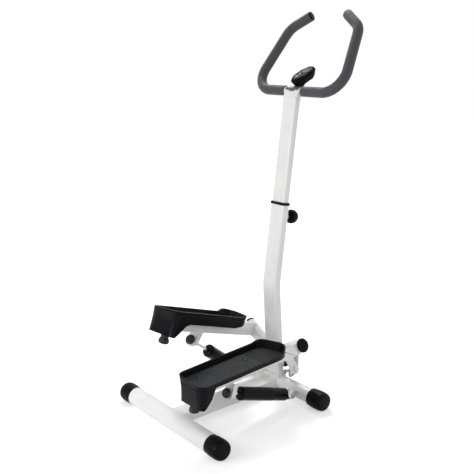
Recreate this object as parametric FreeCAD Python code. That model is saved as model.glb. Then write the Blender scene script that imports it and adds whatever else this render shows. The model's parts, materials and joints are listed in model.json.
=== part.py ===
"""Twist stepper with two damped foot levers and a telescopic handlebar post.

X points to the user's right, Y forward to the post, Z up from the floor. All sizes are in
millimetres and degrees. The machine stands with its right lever down and its left lever up.
"""

import FreeCAD, Part
import math
import os

# Base: two cross tubes on the floor, joined by a flat spine.
axle_base = 406.0
cap_diameter = 58.0
cap_neck_diameter = 55.0
cap_length = 52.0
cap_sleeve = 36.0
cap_wall_gap = 0.2
cap_flute_count = 36
cap_flute_radius = 1.1
cap_rest_flat = 1.2
rear_tube_diameter = 54.0
rear_tube_bare = 370.0
front_tube_diameter = 46.0
front_tube_bare = 330.0
round_tube_wall = 2.0
spine_width = 60.0
spine_height = 30.0
spine_corner = 7.0
spine_wall = 2.0

# Post: a flat tube, cranked at one height, and a second one that slides inside it.
post_width = 58.0
post_depth = 27.0
post_corner = 7.0
post_wall = 1.6
post_foot_gap = 4.0
post_back_lean = 4.0
post_forward_lean = 7.5
post_crank_height = 355.0
post_crank_radius = 160.0
post_top_height = 602.0
slide_clearance = 0.5
upper_post_wall = 1.6
upper_post_insert = 105.0
collar_lip = 2.4
collar_height = 4.0
collar_skirt = 4.0
saddle_plate_width = 66.0
saddle_plate_depth = 38.0

# Clamp knob on the front of the lower post.
clamp_below_top = 42.0
boss_diameter = 22.0
boss_length = 14.0
clamp_screw_diameter = 10.0
clamp_tip_gap = 0.6
knob_diameter = 44.0
knob_length = 30.0
knob_neck_diameter = 26.0
knob_flute_count = 12

# Handlebar: one bent tube in a plane that leans forward.
bar_diameter = 24.0
bar_wall = 1.8
bar_centre_height = 933.0
bar_forward_offset = 8.0
bar_plane_lean = 32.5
bar_half_width = 184.0
bar_shoulder_half_width = 141.0
bar_shoulder_rise = 215.0
bar_tip_half_width = 74.0
bar_tip_rise = 260.0
bar_lower_radius = 62.0
bar_upper_radius = 55.0
grip_diameter = 30.5
grip_start = 34.0
grip_fit = 0.05
plug_flange = 4.0
plug_depth = 18.0
saddle_width = 60.0
saddle_wrap = 20.0
saddle_lip = 3.0

# Console on a foot over the handlebar.
console_length = 90.0
console_width = 50.0
console_chamfer = 17.0
console_face_height = 9.0
console_back_height = 17.0
console_back_taper = 7.0
console_tilt = 25.0
console_forward = 40.0
console_rise = 53.0
console_wall = 2.2
window_length = 30.0
window_width = 27.0
window_offset = 17.0
button_diameter = 13.0
button_offset = 26.0
small_button_diameter = 6.0
small_button_offset = 11.0
button_stand = 1.6
button_travel = 1.2
button_clearance = 0.25
console_foot_width = 20.0
console_foot_wrap = 4.0

# Lever pivots: two axles that rise outward from the post.
pivot_tilt = 28.0
pivot_apex_height = 118.0
axle_diameter = 20.0
axle_end = 131.0
sleeve_start = 49.0
sleeve_end = 138.0
sleeve_diameter = 42.0
sleeve_wall = 3.0
bush_length = 22.0
running_clearance = 0.08
axle_collar_diameter = 32.0
axle_collar_gap = 0.6
axle_washer = 2.5
axle_bolt_head = 6.5
axle_bolt_flats = 17.0
gusset_thickness = 8.0
gusset_drop = 34.0
cap_dome = 9.0

# Foot levers, drawn level and turned to where they stand.
arm_low_angle = 2.3
arm_swing = 24.0
arm_centre_x = 102.0
arm_width = 28.0
arm_height = 43.0
arm_corner = 4.0
arm_wall = 2.0
arm_bottom_height = 150.0
arm_rear_y = -14.0

# Link levers under the pivots and the rocker that joins them.
lever_position = 54.0
lever_length = 66.0
lever_width = 30.0
lever_thickness = 6.0
link_bolt_diameter = 8.0
link_bolt_reach = 42.0
link_bolt_head = 5.0
link_nut_thickness = 4.0
rocker_gap = 17.0
rocker_height = 110.0
rocker_bar_depth = 14.0
rocker_bar_height = 16.0
rocker_ear_x = 57.0
rocker_ear_thickness = 5.0
rocker_ear_width = 25.0
rocker_ear_height = 35.0
rocker_slot_width = 12.6
rocker_slot_height = 25.0
rocker_bolt_diameter = 10.0
rocker_plate_thickness = 5.0
rocker_face_gap = 0.6

# Knob that locks the post to its foot.
foot_knob_height = 78.0
foot_knob_diameter = 36.0
foot_knob_length = 26.0
foot_knob_boss = 16.0
foot_knob_flutes = 8

# Footplates.
plate_heel_y = -26.0
plate_toe_y = 301.0
plate_heel_inner_x = 58.0
plate_heel_outer_x = 172.0
plate_toe_inner_x = 48.0
plate_toe_outer_x = 169.0
plate_heel_radius = 23.0
plate_toe_inner_radius = 34.0
plate_toe_outer_radius = 44.0
plate_floor = 4.0
plate_inner_rim = 16.0
plate_outer_rim = 9.5
plate_toe_rim = 22.0
plate_toe_rise_start = 256.0
plate_toe_rise_end = 286.0
plate_wall = 4.0
plate_draft = 8.0
plate_skirt_drop = 15.0
plate_heel_drop = 57.0
plate_heel_length = 33.0
plate_heel_ramp = 25.0
plate_heel_floor = 4.0
rib_pitch = 7.0
rib_width = 2.4
rib_height = 1.3
rib_angle = 25.0
rib_margin = 14.0
rib_field_end = 206.0
plate_screw_rear_y = 22.0
plate_screw_front_y = 188.0
plate_screw_head = 11.0
plate_screw_shank = 5.0
plate_screw_length = 14.0
plate_screw_boss = 19.0
bumper_x = 108.0
bumper_y = -5.0
bumper_diameter = 31.0
bumper_neck = 23.0
bumper_height = 28.0

# Dampers between the base and the levers.
damper_mount_x = 115.0
damper_mount_y = 357.0
damper_mount_z = 33.0
damper_arm_x = 109.0
damper_arm_y = 117.0
damper_arm_drop = 28.0
damper_barrel_diameter = 40.0
damper_barrel_front_diameter = 38.0
damper_barrel_length = 194.0
damper_barrel_bore = 30.0
damper_neck = 18.0
damper_eye_diameter = 28.0
damper_eye_width = 16.0
damper_pin_diameter = 10.0
damper_pin_head = 6.0
damper_pin_cap = 31.0
damper_gland_length = 8.0
damper_rod_diameter = 10.0
damper_rod_insert = 118.0
damper_piston_length = 12.0
damper_piston_gap = 0.3
bracket_thickness = 5.0
bracket_width = 34.0
bracket_hole = 18.0
bracket_below = 17.0
bracket_cheek = 13.0
bracket_wall = 3.0
rod_nut_flats = 18.0
rod_nut_length = 11.0
rod_stop_gap = 1.5
rod_stop_diameter = 29.0
rod_stop_length = 12.0
mount_plate_thickness = 6.0
mount_plate_height = 28.0
mount_face_gap = 0.6

rear_axis_height = cap_diameter / 2 - cap_rest_flat
front_axis_height = cap_diameter / 2 - cap_rest_flat
post_foot_height = front_axis_height + front_tube_diameter / 2 + post_foot_gap
plate_top_height = arm_bottom_height + arm_height + plate_floor
plate_toe_top = plate_top_height + plate_toe_rim


def vector(x, y, z):
    """Return a FreeCAD vector."""
    return FreeCAD.Vector(x, y, z)


def write_parts(pieces):
    """Write each node to parts/NAME.step, with the machine centred over the origin, on the floor."""
    bounds = Part.makeCompound(list(pieces.values())).optimalBoundingBox()
    shift = vector(0, -bounds.Center.y, 0)
    for name, shape in pieces.items():
        moved = shape.copy()
        moved.translate(shift)
        moved.exportStep("parts/" + name + ".step")


def cylinder(diameter, start, end):
    """Return a solid rod of a diameter between two points."""
    direction = end.sub(start)
    return Part.makeCylinder(diameter / 2, direction.Length, start, direction)


def tube(outer, inner, start, end):
    """Return a round tube between two points."""
    return cylinder(outer, start, end).cut(cylinder(inner, start, end))


def box(low, high):
    """Return a box between its lowest and highest corners."""
    size = high.sub(low)
    return Part.makeBox(size.x, size.y, size.z, low)


def rounded_outline(points, radii):
    """Return a closed flat wire through the points, each corner rounded by its own radius."""
    starts = []
    ends = []
    middles = []
    count = len(points)
    for index in range(count):
        corner = points[index]
        back = points[index - 1].sub(corner).normalize()
        ahead = points[(index + 1) % count].sub(corner).normalize()
        half = back.getAngle(ahead) / 2
        reach = radii[index] / math.tan(half)
        bisector = back.add(ahead).normalize()
        starts.append(corner.add(back * reach))
        ends.append(corner.add(ahead * reach))
        middles.append(corner.add(bisector * (radii[index] / math.sin(half) - radii[index])))
    edges = []
    for index in range(count):
        if radii[index] > 0:
            edges.append(Part.Arc(starts[index], middles[index], ends[index]).toShape())
        edges.append(Part.makeLine(ends[index], starts[(index + 1) % count]))
    return Part.Wire(edges)


def polygon_prism(points, sweep):
    """Return the solid made by sweeping a sharp-cornered outline."""
    return Part.Face(Part.makePolygon(points + [points[0]])).extrude(sweep)


def rounded_bar(width, depth, radius, length):
    """Return a bar with a rounded rectangular section, centred on Z, from z = 0 upward."""
    points = [
        vector(-width / 2, -depth / 2, 0),
        vector(width / 2, -depth / 2, 0),
        vector(width / 2, depth / 2, 0),
        vector(-width / 2, depth / 2, 0),
    ]
    return Part.Face(rounded_outline(points, [radius] * 4)).extrude(vector(0, 0, length))


def mirrored(shape):
    """Return the left-hand copy of a right-hand shape."""
    return shape.mirror(vector(0, 0, 0), vector(1, 0, 0))


def revolve(points, origin, direction):
    """Return a turned solid from (radius, height) pairs, standing at origin along direction."""
    profile = [vector(radius, 0, height) for radius, height in points]
    face = Part.Face(Part.makePolygon(profile + [profile[0]]))
    solid = face.revolve(vector(0, 0, 0), vector(0, 0, 1), 360)
    solid.Placement = FreeCAD.Placement(origin, FreeCAD.Rotation(vector(0, 0, 1), direction))
    return solid


def hexagon(flats, start, end):
    """Return a hexagonal bar between two points."""
    direction = end.sub(start)
    radius = flats / 2 / math.cos(math.radians(30))
    points = []
    for step in range(6):
        angle = math.radians(60 * step)
        points.append(vector(radius * math.cos(angle), radius * math.sin(angle), 0))
    solid = polygon_prism(points, vector(0, 0, direction.Length))
    solid.Placement = FreeCAD.Placement(start, FreeCAD.Rotation(vector(0, 0, 1), direction))
    return solid


# Cross tubes and spine


def cross_tube(diameter, bare_length, y, height):
    """Return a floor tube along X, running on into both end caps."""
    half = bare_length / 2 + cap_sleeve
    inner = diameter - 2 * round_tube_wall
    return tube(diameter, inner, vector(-half, y, height), vector(half, y, height))


def end_cap(diameter, bare_length, y, height):
    """Return the right-hand ribbed end cap that slides over a cross tube."""
    start = bare_length / 2
    barrel = cap_diameter / 2
    neck = cap_neck_diameter / 2
    bore = diameter / 2 + cap_wall_gap
    outline = [
        (0, cap_length + 2.5),
        (barrel * 0.55, cap_length + 2),
        (barrel * 0.86, cap_length),
        (barrel * 0.96, cap_length * 0.9),
        (barrel, cap_length * 0.72),
        (barrel, cap_length * 0.42),
        (barrel * 0.98, cap_length * 0.2),
        (neck, 5),
        (neck, 0),
        (bore, 0),
        (bore, cap_sleeve + cap_wall_gap),
        (0, cap_sleeve + cap_wall_gap),
    ]
    cap = revolve(outline, vector(start, y, height), vector(1, 0, 0))
    flutes = []
    for step in range(cap_flute_count):
        angle = math.radians(360 / cap_flute_count * (step + 0.5))
        reach = barrel + cap_flute_radius * 0.35
        centre = vector(start + 6, y + reach * math.sin(angle), height + reach * math.cos(angle))
        flutes.append(cylinder(2 * cap_flute_radius, centre, centre.add(vector(cap_length, 0, 0))))
    floor_end = vector(start + 2 * cap_length, y + cap_diameter, 0)
    floor = box(vector(0, y - cap_diameter, -cap_diameter), floor_end)
    return cap.cut(Part.makeCompound(flutes)).cut(floor)


def spine_beam():
    """Return the flat spine, coped to fit both cross tubes."""
    bar = rounded_bar(spine_width, spine_height, spine_corner, axle_base)
    inner_width = spine_width - 2 * spine_wall
    inner_height = spine_height - 2 * spine_wall
    bar = bar.cut(rounded_bar(inner_width, inner_height, spine_corner - spine_wall, axle_base))
    bar.rotate(vector(0, 0, 0), vector(1, 0, 0), -90)
    bar.translate(vector(0, 0, rear_axis_height))
    rear = cylinder(rear_tube_diameter, vector(-60, 0, rear_axis_height), vector(60, 0, rear_axis_height))
    front = cylinder(
        front_tube_diameter,
        vector(-60, axle_base, front_axis_height),
        vector(60, axle_base, front_axis_height),
    )
    return bar.cut(rear).cut(front)


# Post


def crank_point():
    """Return the point where the post's two centre lines meet."""
    rise = post_crank_height - post_foot_height
    return vector(0, axle_base - rise * math.tan(math.radians(post_back_lean)), post_crank_height)


def upper_direction():
    """Return the unit direction of the post above its crank."""
    lean = math.radians(post_forward_lean)
    return vector(0, math.sin(lean), math.cos(lean))


def upper_point(height):
    """Return the point of the upper centre line at a height."""
    return crank_point().add(upper_direction() * ((height - post_crank_height) / upper_direction().z))


def lower_centre_y(height):
    """Return the Y of the post's lower centre line at a height."""
    return axle_base - (height - post_foot_height) * math.tan(math.radians(post_back_lean))


def crank_wire(foot, top):
    """Return the post's centre line with its crank rounded by an arc."""
    corner = crank_point()
    down = foot.sub(corner).normalize()
    up = top.sub(corner).normalize()
    half = down.getAngle(up) / 2
    reach = post_crank_radius / math.tan(half)
    bisector = down.add(up).normalize()
    middle = corner.add(bisector * (post_crank_radius / math.sin(half) - post_crank_radius))
    start = corner.add(down * reach)
    end = corner.add(up * reach)
    arc = Part.Arc(start, middle, end).toShape()
    return Part.Wire([Part.makeLine(foot, start), arc, Part.makeLine(end, top)])


def post_sweep(width, depth, radius):
    """Return a solid bar that follows the post's centre line from below the foot to its top."""
    extra = 12.0
    foot_z = post_foot_height - extra
    foot = vector(0, lower_centre_y(foot_z), foot_z)
    top = upper_point(post_top_height)
    path = crank_wire(foot, top)
    section = rounded_outline(
        [
            vector(-width / 2, -depth / 2, 0),
            vector(width / 2, -depth / 2, 0),
            vector(width / 2, depth / 2, 0),
            vector(-width / 2, depth / 2, 0),
        ],
        [radius] * 4,
    )
    along = crank_point().sub(foot).normalize()
    section.Placement = FreeCAD.Placement(foot, FreeCAD.Rotation(vector(0, 0, 1), along))
    return path.makePipeShell([section], True, False)


def lower_post():
    """Return the lower post, cut level at its foot and bored for the clamp screw."""
    outer = post_sweep(post_width, post_depth, post_corner)
    inner = post_sweep(post_width - 2 * post_wall, post_depth - 2 * post_wall, post_corner - post_wall)
    floor = box(vector(-80, axle_base - 80, 0), vector(80, axle_base + 80, post_foot_height))
    centre = clamp_centre()
    hole = cylinder(clamp_screw_diameter + 0.4, centre, centre.add(forward_normal() * post_depth))
    foot = foot_knob_base()
    reach = vector(0, post_depth / 2, 0)
    foot_hole = cylinder(clamp_screw_diameter + 0.4, foot.sub(reach), foot.add(reach))
    return outer.cut(inner).cut(floor).cut(hole).cut(foot_hole)


def forward_normal():
    """Return the unit direction square to the upper post's front face."""
    along = upper_direction()
    return vector(0, along.z, -along.y)


def clamp_centre():
    """Return the point of the upper centre line level with the clamp screw."""
    return upper_point(post_top_height).sub(upper_direction() * clamp_below_top)


def post_saddle():
    """Return the foot block that seats the post on the front cross tube."""
    half_width = saddle_plate_width / 2
    half_depth = saddle_plate_depth / 2
    low = vector(-half_width, axle_base - half_depth, front_axis_height + 9)
    high = vector(half_width, axle_base + half_depth, post_foot_height)
    block = box(low, high)
    block = block.makeFillet(4, [edge for edge in block.Edges if vertical(edge)])
    tube_left = vector(-60, axle_base, front_axis_height)
    tube_right = vector(60, axle_base, front_axis_height)
    axle = cylinder(front_tube_diameter, tube_left, tube_right)
    spine = box(
        vector(-spine_width / 2, 0, rear_axis_height - spine_height / 2),
        vector(spine_width / 2, axle_base, rear_axis_height + spine_height / 2 + 0.2),
    )
    return block.cut(axle).cut(spine)


def vertical(edge):
    """Tell whether an edge runs straight up."""
    ends = [vertex.Point for vertex in edge.Vertexes]
    return len(ends) == 2 and abs(ends[0].z - ends[1].z) > 0.99 * edge.Length


def collar_bush():
    """Return the plastic bush pressed over the lower post's top, open for the upper post."""
    lip = rounded_bar(post_width + 2 * collar_lip, post_depth + 2 * collar_lip, post_corner + collar_lip,
                      collar_height + collar_skirt)
    seat = rounded_bar(post_width, post_depth, post_corner, collar_skirt)
    bore_width = post_width - 2 * post_wall - 2 * slide_clearance + 0.5
    bore_depth = post_depth - 2 * post_wall - 2 * slide_clearance + 0.5
    bore = rounded_bar(bore_width, bore_depth, post_corner - post_wall, collar_height + collar_skirt)
    lip_top = collar_height + collar_skirt - 0.1
    bush = lip.makeFillet(2, [edge for edge in lip.Edges if edge.CenterOfMass.z > lip_top])
    bush = bush.cut(seat).cut(bore)
    base = upper_point(post_top_height).sub(upper_direction() * collar_skirt)
    bush.Placement = FreeCAD.Placement(base, FreeCAD.Rotation(vector(0, 0, 1), upper_direction()))
    return bush


def clamp_boss():
    """Return the threaded boss welded to the front of the lower post."""
    face = clamp_centre().add(forward_normal() * (post_depth / 2))
    end = face.add(forward_normal() * boss_length)
    return tube(boss_diameter, clamp_screw_diameter + 0.2, face, end)


def clamp_screw():
    """Return the clamp screw, from its tip by the upper post to its end in the knob."""
    inner_face = post_depth / 2 - post_wall - slide_clearance
    start = clamp_centre().add(forward_normal() * (inner_face + clamp_tip_gap))
    end = clamp_centre().add(forward_normal() * (post_depth / 2 + boss_length + 1 + knob_length * 0.6))
    return cylinder(clamp_screw_diameter, start, end)


def fluted_knob(diameter, length, neck, flutes, base, direction):
    """Return a fluted dome knob for a clamp screw, standing at base along direction."""
    radius = diameter / 2
    bore = clamp_screw_diameter / 2
    outline = [
        (bore, 0),
        (neck / 2, 0),
        (neck / 2, length * 0.2),
        (radius * 0.92, length * 0.3),
        (radius, length * 0.45),
        (radius * 0.97, length * 0.7),
        (radius * 0.8, length * 0.9),
        (radius * 0.45, length),
        (0, length + 1),
        (0, length * 0.6),
        (bore, length * 0.6),
    ]
    knob = revolve(outline, base, direction)
    side = vector(1, 0, 0)
    up = side.cross(direction)
    cuts = []
    for step in range(flutes):
        angle = math.radians(360 / flutes * step)
        offset = side * math.cos(angle) + up * math.sin(angle)
        start = base.add(offset * (radius + diameter * 0.05))
        cuts.append(cylinder(diameter * 0.16, start, start.add(direction * (length + 4))))
    return knob.cut(Part.makeCompound(cuts))


def clamp_knob():
    """Return the fluted dome knob on the clamp screw."""
    base = clamp_centre().add(forward_normal() * (post_depth / 2 + boss_length + 1))
    axis = forward_normal()
    return fluted_knob(knob_diameter, knob_length, knob_neck_diameter, knob_flute_count, base, axis)


def foot_knob_base():
    """Return the point on the lower post's front face at the foot knob's height."""
    return vector(0, lower_centre_y(foot_knob_height) + post_depth / 2, foot_knob_height)


def foot_knob_boss_tube():
    """Return the threaded boss for the foot knob on the front of the post."""
    start = foot_knob_base()
    end = start.add(vector(0, foot_knob_boss, 0))
    boss = tube(boss_diameter, clamp_screw_diameter + 0.2, start.sub(vector(0, 4, 0)), end)
    return boss.cut(post_sweep(post_width, post_depth, post_corner))


def foot_screw():
    """Return the foot knob's screw, which reaches through the post's front wall."""
    start = foot_knob_base().sub(vector(0, 8, 0))
    end = foot_knob_base().add(vector(0, foot_knob_boss + 1 + foot_knob_length * 0.6, 0))
    return cylinder(clamp_screw_diameter, start, end)


def foot_knob():
    """Return the fluted knob that locks the post to its foot."""
    base = foot_knob_base().add(vector(0, foot_knob_boss + 1, 0))
    neck = boss_diameter
    return fluted_knob(foot_knob_diameter, foot_knob_length, neck, foot_knob_flutes, base, vector(0, 1, 0))


def upper_post():
    """Return the sliding upper post, from inside the lower one to the handlebar saddle."""
    width = post_width - 2 * post_wall - 2 * slide_clearance
    depth = post_depth - 2 * post_wall - 2 * slide_clearance
    corner = post_corner - post_wall - slide_clearance
    bottom = upper_point(post_top_height).sub(upper_direction() * upper_post_insert)
    length = bar_base().sub(bottom).Length - saddle_wrap
    outer = rounded_bar(width, depth, corner, length)
    wall = upper_post_wall
    inner = rounded_bar(width - 2 * wall, depth - 2 * wall, corner - wall, length)
    post = outer.cut(inner)
    post.Placement = FreeCAD.Placement(bottom, FreeCAD.Rotation(vector(0, 0, 1), upper_direction()))
    return post


# Handlebar and console


def bar_base():
    """Return the point of the upper centre line level with the handlebar."""
    return upper_point(bar_centre_height)


def bar_centre():
    """Return the middle of the handlebar's centre line."""
    return bar_base().add(vector(0, bar_forward_offset, 0))


def bar_plane_up():
    """Return the unit direction up the handlebar's plane."""
    lean = math.radians(bar_plane_lean)
    return vector(0, math.sin(lean), math.cos(lean))


def bar_path(points, radii):
    """Return a wire through the points with each inner corner rounded."""
    edges = []
    start = points[0]
    for index in range(1, len(points) - 1):
        corner = points[index]
        back = points[index - 1].sub(corner).normalize()
        ahead = points[index + 1].sub(corner).normalize()
        half = back.getAngle(ahead) / 2
        reach = radii[index] / math.tan(half)
        bisector = back.add(ahead).normalize()
        middle = corner.add(bisector * (radii[index] / math.sin(half) - radii[index]))
        edges.append(Part.makeLine(start, corner.add(back * reach)))
        edges.append(Part.Arc(corner.add(back * reach), middle, corner.add(ahead * reach)).toShape())
        start = corner.add(ahead * reach)
    edges.append(Part.makeLine(start, points[-1]))
    return Part.Wire(edges)


def bar_side_points(side):
    """Return the handlebar's corners from its middle to one tip; side is 1 or -1."""
    centre = bar_centre()
    up = bar_plane_up()
    return [
        centre,
        centre.add(vector(side * bar_half_width, 0, 0)),
        centre.add(vector(side * bar_shoulder_half_width, 0, 0)).add(up * bar_shoulder_rise),
        centre.add(vector(side * bar_tip_half_width, 0, 0)).add(up * bar_tip_rise),
    ]


def sweep_circle(path, diameter):
    """Return a solid round bar along a wire."""
    first = path.OrderedEdges[0]
    start = first.valueAt(first.FirstParameter)
    direction = first.tangentAt(first.FirstParameter)
    circle = Part.Wire(Part.makeCircle(diameter / 2, start, direction))
    return path.makePipeShell([circle], True, False)


def handlebar():
    """Return the bent handlebar tube."""
    right = bar_side_points(1)
    left = bar_side_points(-1)
    points = [left[3], left[2], left[1], right[1], right[2], right[3]]
    radii = [0, bar_upper_radius, bar_lower_radius, bar_lower_radius, bar_upper_radius, 0]
    path = bar_path(points, radii)
    return sweep_circle(path, bar_diameter).cut(sweep_circle(path, bar_diameter - 2 * bar_wall))


def grip(side):
    """Return one foam grip, from beside the saddle to the handlebar's tip."""
    points = bar_side_points(side)
    points[0] = bar_centre().add(vector(side * grip_start, 0, 0))
    path = bar_path(points, [0, bar_lower_radius, bar_upper_radius, 0])
    return sweep_circle(path, grip_diameter).cut(sweep_circle(path, bar_diameter + 2 * grip_fit))


def tip_plug(side):
    """Return the round plug in one handlebar tip."""
    points = bar_side_points(side)
    outward = points[3].sub(points[2]).normalize()
    bore = bar_diameter / 2 - bar_wall - 0.05
    radius = grip_diameter / 2 - 0.6
    outline = [
        (0, -plug_depth),
        (bore, -plug_depth),
        (bore, 0),
        (radius, 0),
        (radius, plug_flange * 0.5),
        (radius * 0.85, plug_flange),
        (0, plug_flange + 0.6),
    ]
    return revolve(outline, points[3].add(outward * 0.05), outward)


def handlebar_saddle():
    """Return the welded saddle that carries the handlebar on the upper post."""
    width = post_width - 2 * post_wall - 2 * slide_clearance
    depth = post_depth - 2 * post_wall - 2 * slide_clearance
    along = upper_direction()
    foot = bar_base().sub(along * saddle_wrap)
    lower = rounded_outline(
        [
            vector(-width / 2, -depth / 2, 0),
            vector(width / 2, -depth / 2, 0),
            vector(width / 2, depth / 2, 0),
            vector(-width / 2, depth / 2, 0),
        ],
        [5] * 4,
    )
    upper_half = saddle_width / 2
    near = bar_forward_offset - bar_diameter / 2 - saddle_lip
    far = bar_forward_offset + bar_diameter / 2 + saddle_lip
    upper = rounded_outline(
        [
            vector(-upper_half, near, 0),
            vector(upper_half, near, 0),
            vector(upper_half, far, 0),
            vector(-upper_half, far, 0),
        ],
        [5] * 4,
    )
    turn = FreeCAD.Rotation(vector(0, 0, 1), along)
    lower.Placement = FreeCAD.Placement(foot, turn)
    upper.Placement = FreeCAD.Placement(foot.add(along * (saddle_wrap - 1)), turn)
    block = Part.makeLoft([lower, upper], True)
    half = vector(80, 0, 0)
    return block.cut(cylinder(bar_diameter, bar_centre().sub(half), bar_centre().add(half)))


def console_placement():
    """Return the placement of the console's face: X across, Y up the face, Z out of it."""
    origin = bar_base().add(vector(0, console_forward, console_rise))
    return FreeCAD.Placement(origin, FreeCAD.Rotation(vector(1, 0, 0), console_tilt))


def console_outline(inset, height):
    """Return the console's eight-sided outline, inset from its full size, at a height."""
    half_w = console_width / 2 - inset
    half_l = console_length / 2 - inset
    cut = console_chamfer - inset * 0.4
    points = [
        vector(-half_w + cut * 0.8, -half_l, height),
        vector(half_w - cut * 0.8, -half_l, height),
        vector(half_w, -half_l + cut * 1.5, height),
        vector(half_w, half_l - cut * 1.5, height),
        vector(half_w - cut * 0.8, half_l, height),
        vector(-half_w + cut * 0.8, half_l, height),
        vector(-half_w, half_l - cut * 1.5, height),
        vector(-half_w, -half_l + cut * 1.5, height),
    ]
    return rounded_outline(points, [4] * 8)


def console_face():
    """Return the console's front shell, open behind, with its window and button holes."""
    seam = console_outline(0, -console_face_height)
    front = console_outline(3.5, 0)
    shell = Part.makeLoft([seam, front], True)
    inner_seam = console_outline(console_wall, -console_face_height)
    inner_front = console_outline(3.5 + console_wall, -console_wall)
    shell = shell.cut(Part.makeLoft([inner_seam, inner_front], True))
    shell = shell.cut(window_block(0.1, -console_wall, 2))
    for diameter, offset in ((button_diameter, button_offset), (small_button_diameter, small_button_offset)):
        hole = diameter + 2 * button_clearance
        shell = shell.cut(cylinder(hole, vector(0, -offset, -console_wall - 1), vector(0, -offset, 2)))
    shell.Placement = console_placement()
    return shell


def window_block(gap, low, high):
    """Return the display window's block between two heights, larger by a gap on each side."""
    half_w = window_width / 2 + gap
    half_l = window_length / 2 + gap
    outline = rounded_outline(
        [
            vector(-half_w, window_offset - half_l, low),
            vector(half_w, window_offset - half_l, low),
            vector(half_w, window_offset + half_l, low),
            vector(-half_w, window_offset + half_l, low),
        ],
        [3] * 4,
    )
    return Part.Face(outline).extrude(vector(0, 0, high - low))


def console_window():
    """Return the clear display window."""
    window = window_block(0, -console_wall + 0.1, -0.3)
    window.Placement = console_placement()
    return window


def console_back():
    """Return the console's tapered back shell, closed to a boss for the foot."""
    gap = 0.6
    seam = console_outline(0.8, -console_face_height - gap)
    back = console_outline(console_back_taper, -console_face_height - console_back_height)
    shell = Part.makeLoft([seam, back], True)
    inner_seam = console_outline(0.8 + console_wall, -console_face_height - gap)
    inner_back = console_outline(
        console_back_taper + console_wall, -console_face_height - console_back_height + console_wall
    )
    shell = shell.cut(Part.makeLoft([inner_seam, inner_back], True))
    lip_low = -console_face_height - gap - 2
    lip_high = -console_face_height + 3
    lip = Part.makeLoft([console_outline(2.3, lip_low), console_outline(4.1, lip_high)], True)
    lip = lip.cut(Part.makeLoft([console_outline(3.7, lip_low), console_outline(5.5, lip_high)], True))
    shell = shell.fuse(lip)
    shell.Placement = console_placement()
    return shell


def console_button(diameter, offset):
    """Return a console button with its flange behind the face."""
    flange = 1.2
    low = -console_wall - button_travel - flange - 0.3
    stem = cylinder(diameter, vector(0, -offset, low), vector(0, -offset, button_stand))
    flange_top = low + flange
    rim = cylinder(diameter + 2, vector(0, -offset, low), vector(0, -offset, flange_top))
    button = stem.fuse(rim)
    button.Placement = console_placement()
    return button


def console_foot():
    """Return the foot: a half ring over the handlebar with a stem up to the console's back."""
    centre = bar_centre()
    half = vector(console_foot_width / 2, 0, 0)
    radius = bar_diameter / 2 + console_foot_wrap
    ring = cylinder(2 * radius, centre.sub(half), centre.add(half))
    frame = console_placement()
    back = -console_face_height - console_back_height - 0.2
    outline = [
        centre.sub(half).add(vector(0, -radius * 0.6, radius * 0.8)),
        frame.multVec(vector(0, -console_length * 0.38, back)).sub(half),
        frame.multVec(vector(0, 0, back)).sub(half),
        centre.sub(half).add(vector(0, radius, 2)),
    ]
    foot = ring.fuse(polygon_prism(outline, half * 2))
    below = box(vector(-60, centre.y - 60, centre.z - 60), vector(60, centre.y + 60, centre.z + 2))
    bar = cylinder(bar_diameter, centre.sub(half * 2), centre.add(half * 2))
    above = box(vector(-60, -100, back), vector(60, 100, back + 60))
    above.Placement = frame.multiply(above.Placement)
    return foot.cut(below).cut(bar).cut(above)


# Lever pivots


def pivot_apex():
    """Return the point on the post's middle plane where both pivot axes meet."""
    return vector(0, lower_centre_y(pivot_apex_height), pivot_apex_height)


def pivot_direction():
    """Return the unit direction of the right pivot, outward and up."""
    tilt = math.radians(pivot_tilt)
    return vector(math.cos(tilt), 0, math.sin(tilt))


def along_pivot(distance):
    """Return the point of the right pivot axis at a distance from the apex."""
    return pivot_apex().add(pivot_direction() * distance)


def lever_down():
    """Return the unit direction square to the right pivot, down and outward."""
    tilt = math.radians(pivot_tilt)
    return vector(math.sin(tilt), 0, -math.cos(tilt))


def hub_axle():
    """Return the right pivot axle with its collar and gusset, cut to the post."""
    axle = cylinder(axle_diameter, along_pivot(0), along_pivot(axle_end))
    collar_end = sleeve_start - axle_collar_gap
    axle = axle.fuse(cylinder(axle_collar_diameter, along_pivot(collar_end - 5), along_pivot(collar_end)))
    apex = pivot_apex()
    corner = along_pivot(collar_end - 6)
    half = gusset_thickness / 2
    outline = [
        vector(0, apex.y - half, corner.z - gusset_drop),
        vector(post_width / 2 + 3, apex.y - half, corner.z - gusset_drop),
        vector(corner.x, apex.y - half, corner.z - 6),
        vector(corner.x, apex.y - half, corner.z),
        vector(0, apex.y - half, apex.z),
    ]
    axle = axle.fuse(polygon_prism(outline, vector(0, gusset_thickness, 0)))
    axle = axle.cut(box(vector(-80, apex.y - 60, 0), vector(0, apex.y + 60, 300)))
    return axle.cut(post_sweep(post_width, post_depth, post_corner))


def axle_bolt():
    """Return the bolt and washer that hold the right lever on its axle."""
    washer_end = axle_end + axle_washer
    washer = cylinder(sleeve_diameter - 2 * sleeve_wall - 8, along_pivot(axle_end), along_pivot(washer_end))
    head = hexagon(axle_bolt_flats, along_pivot(washer_end), along_pivot(washer_end + axle_bolt_head))
    return washer.fuse(head)


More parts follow.
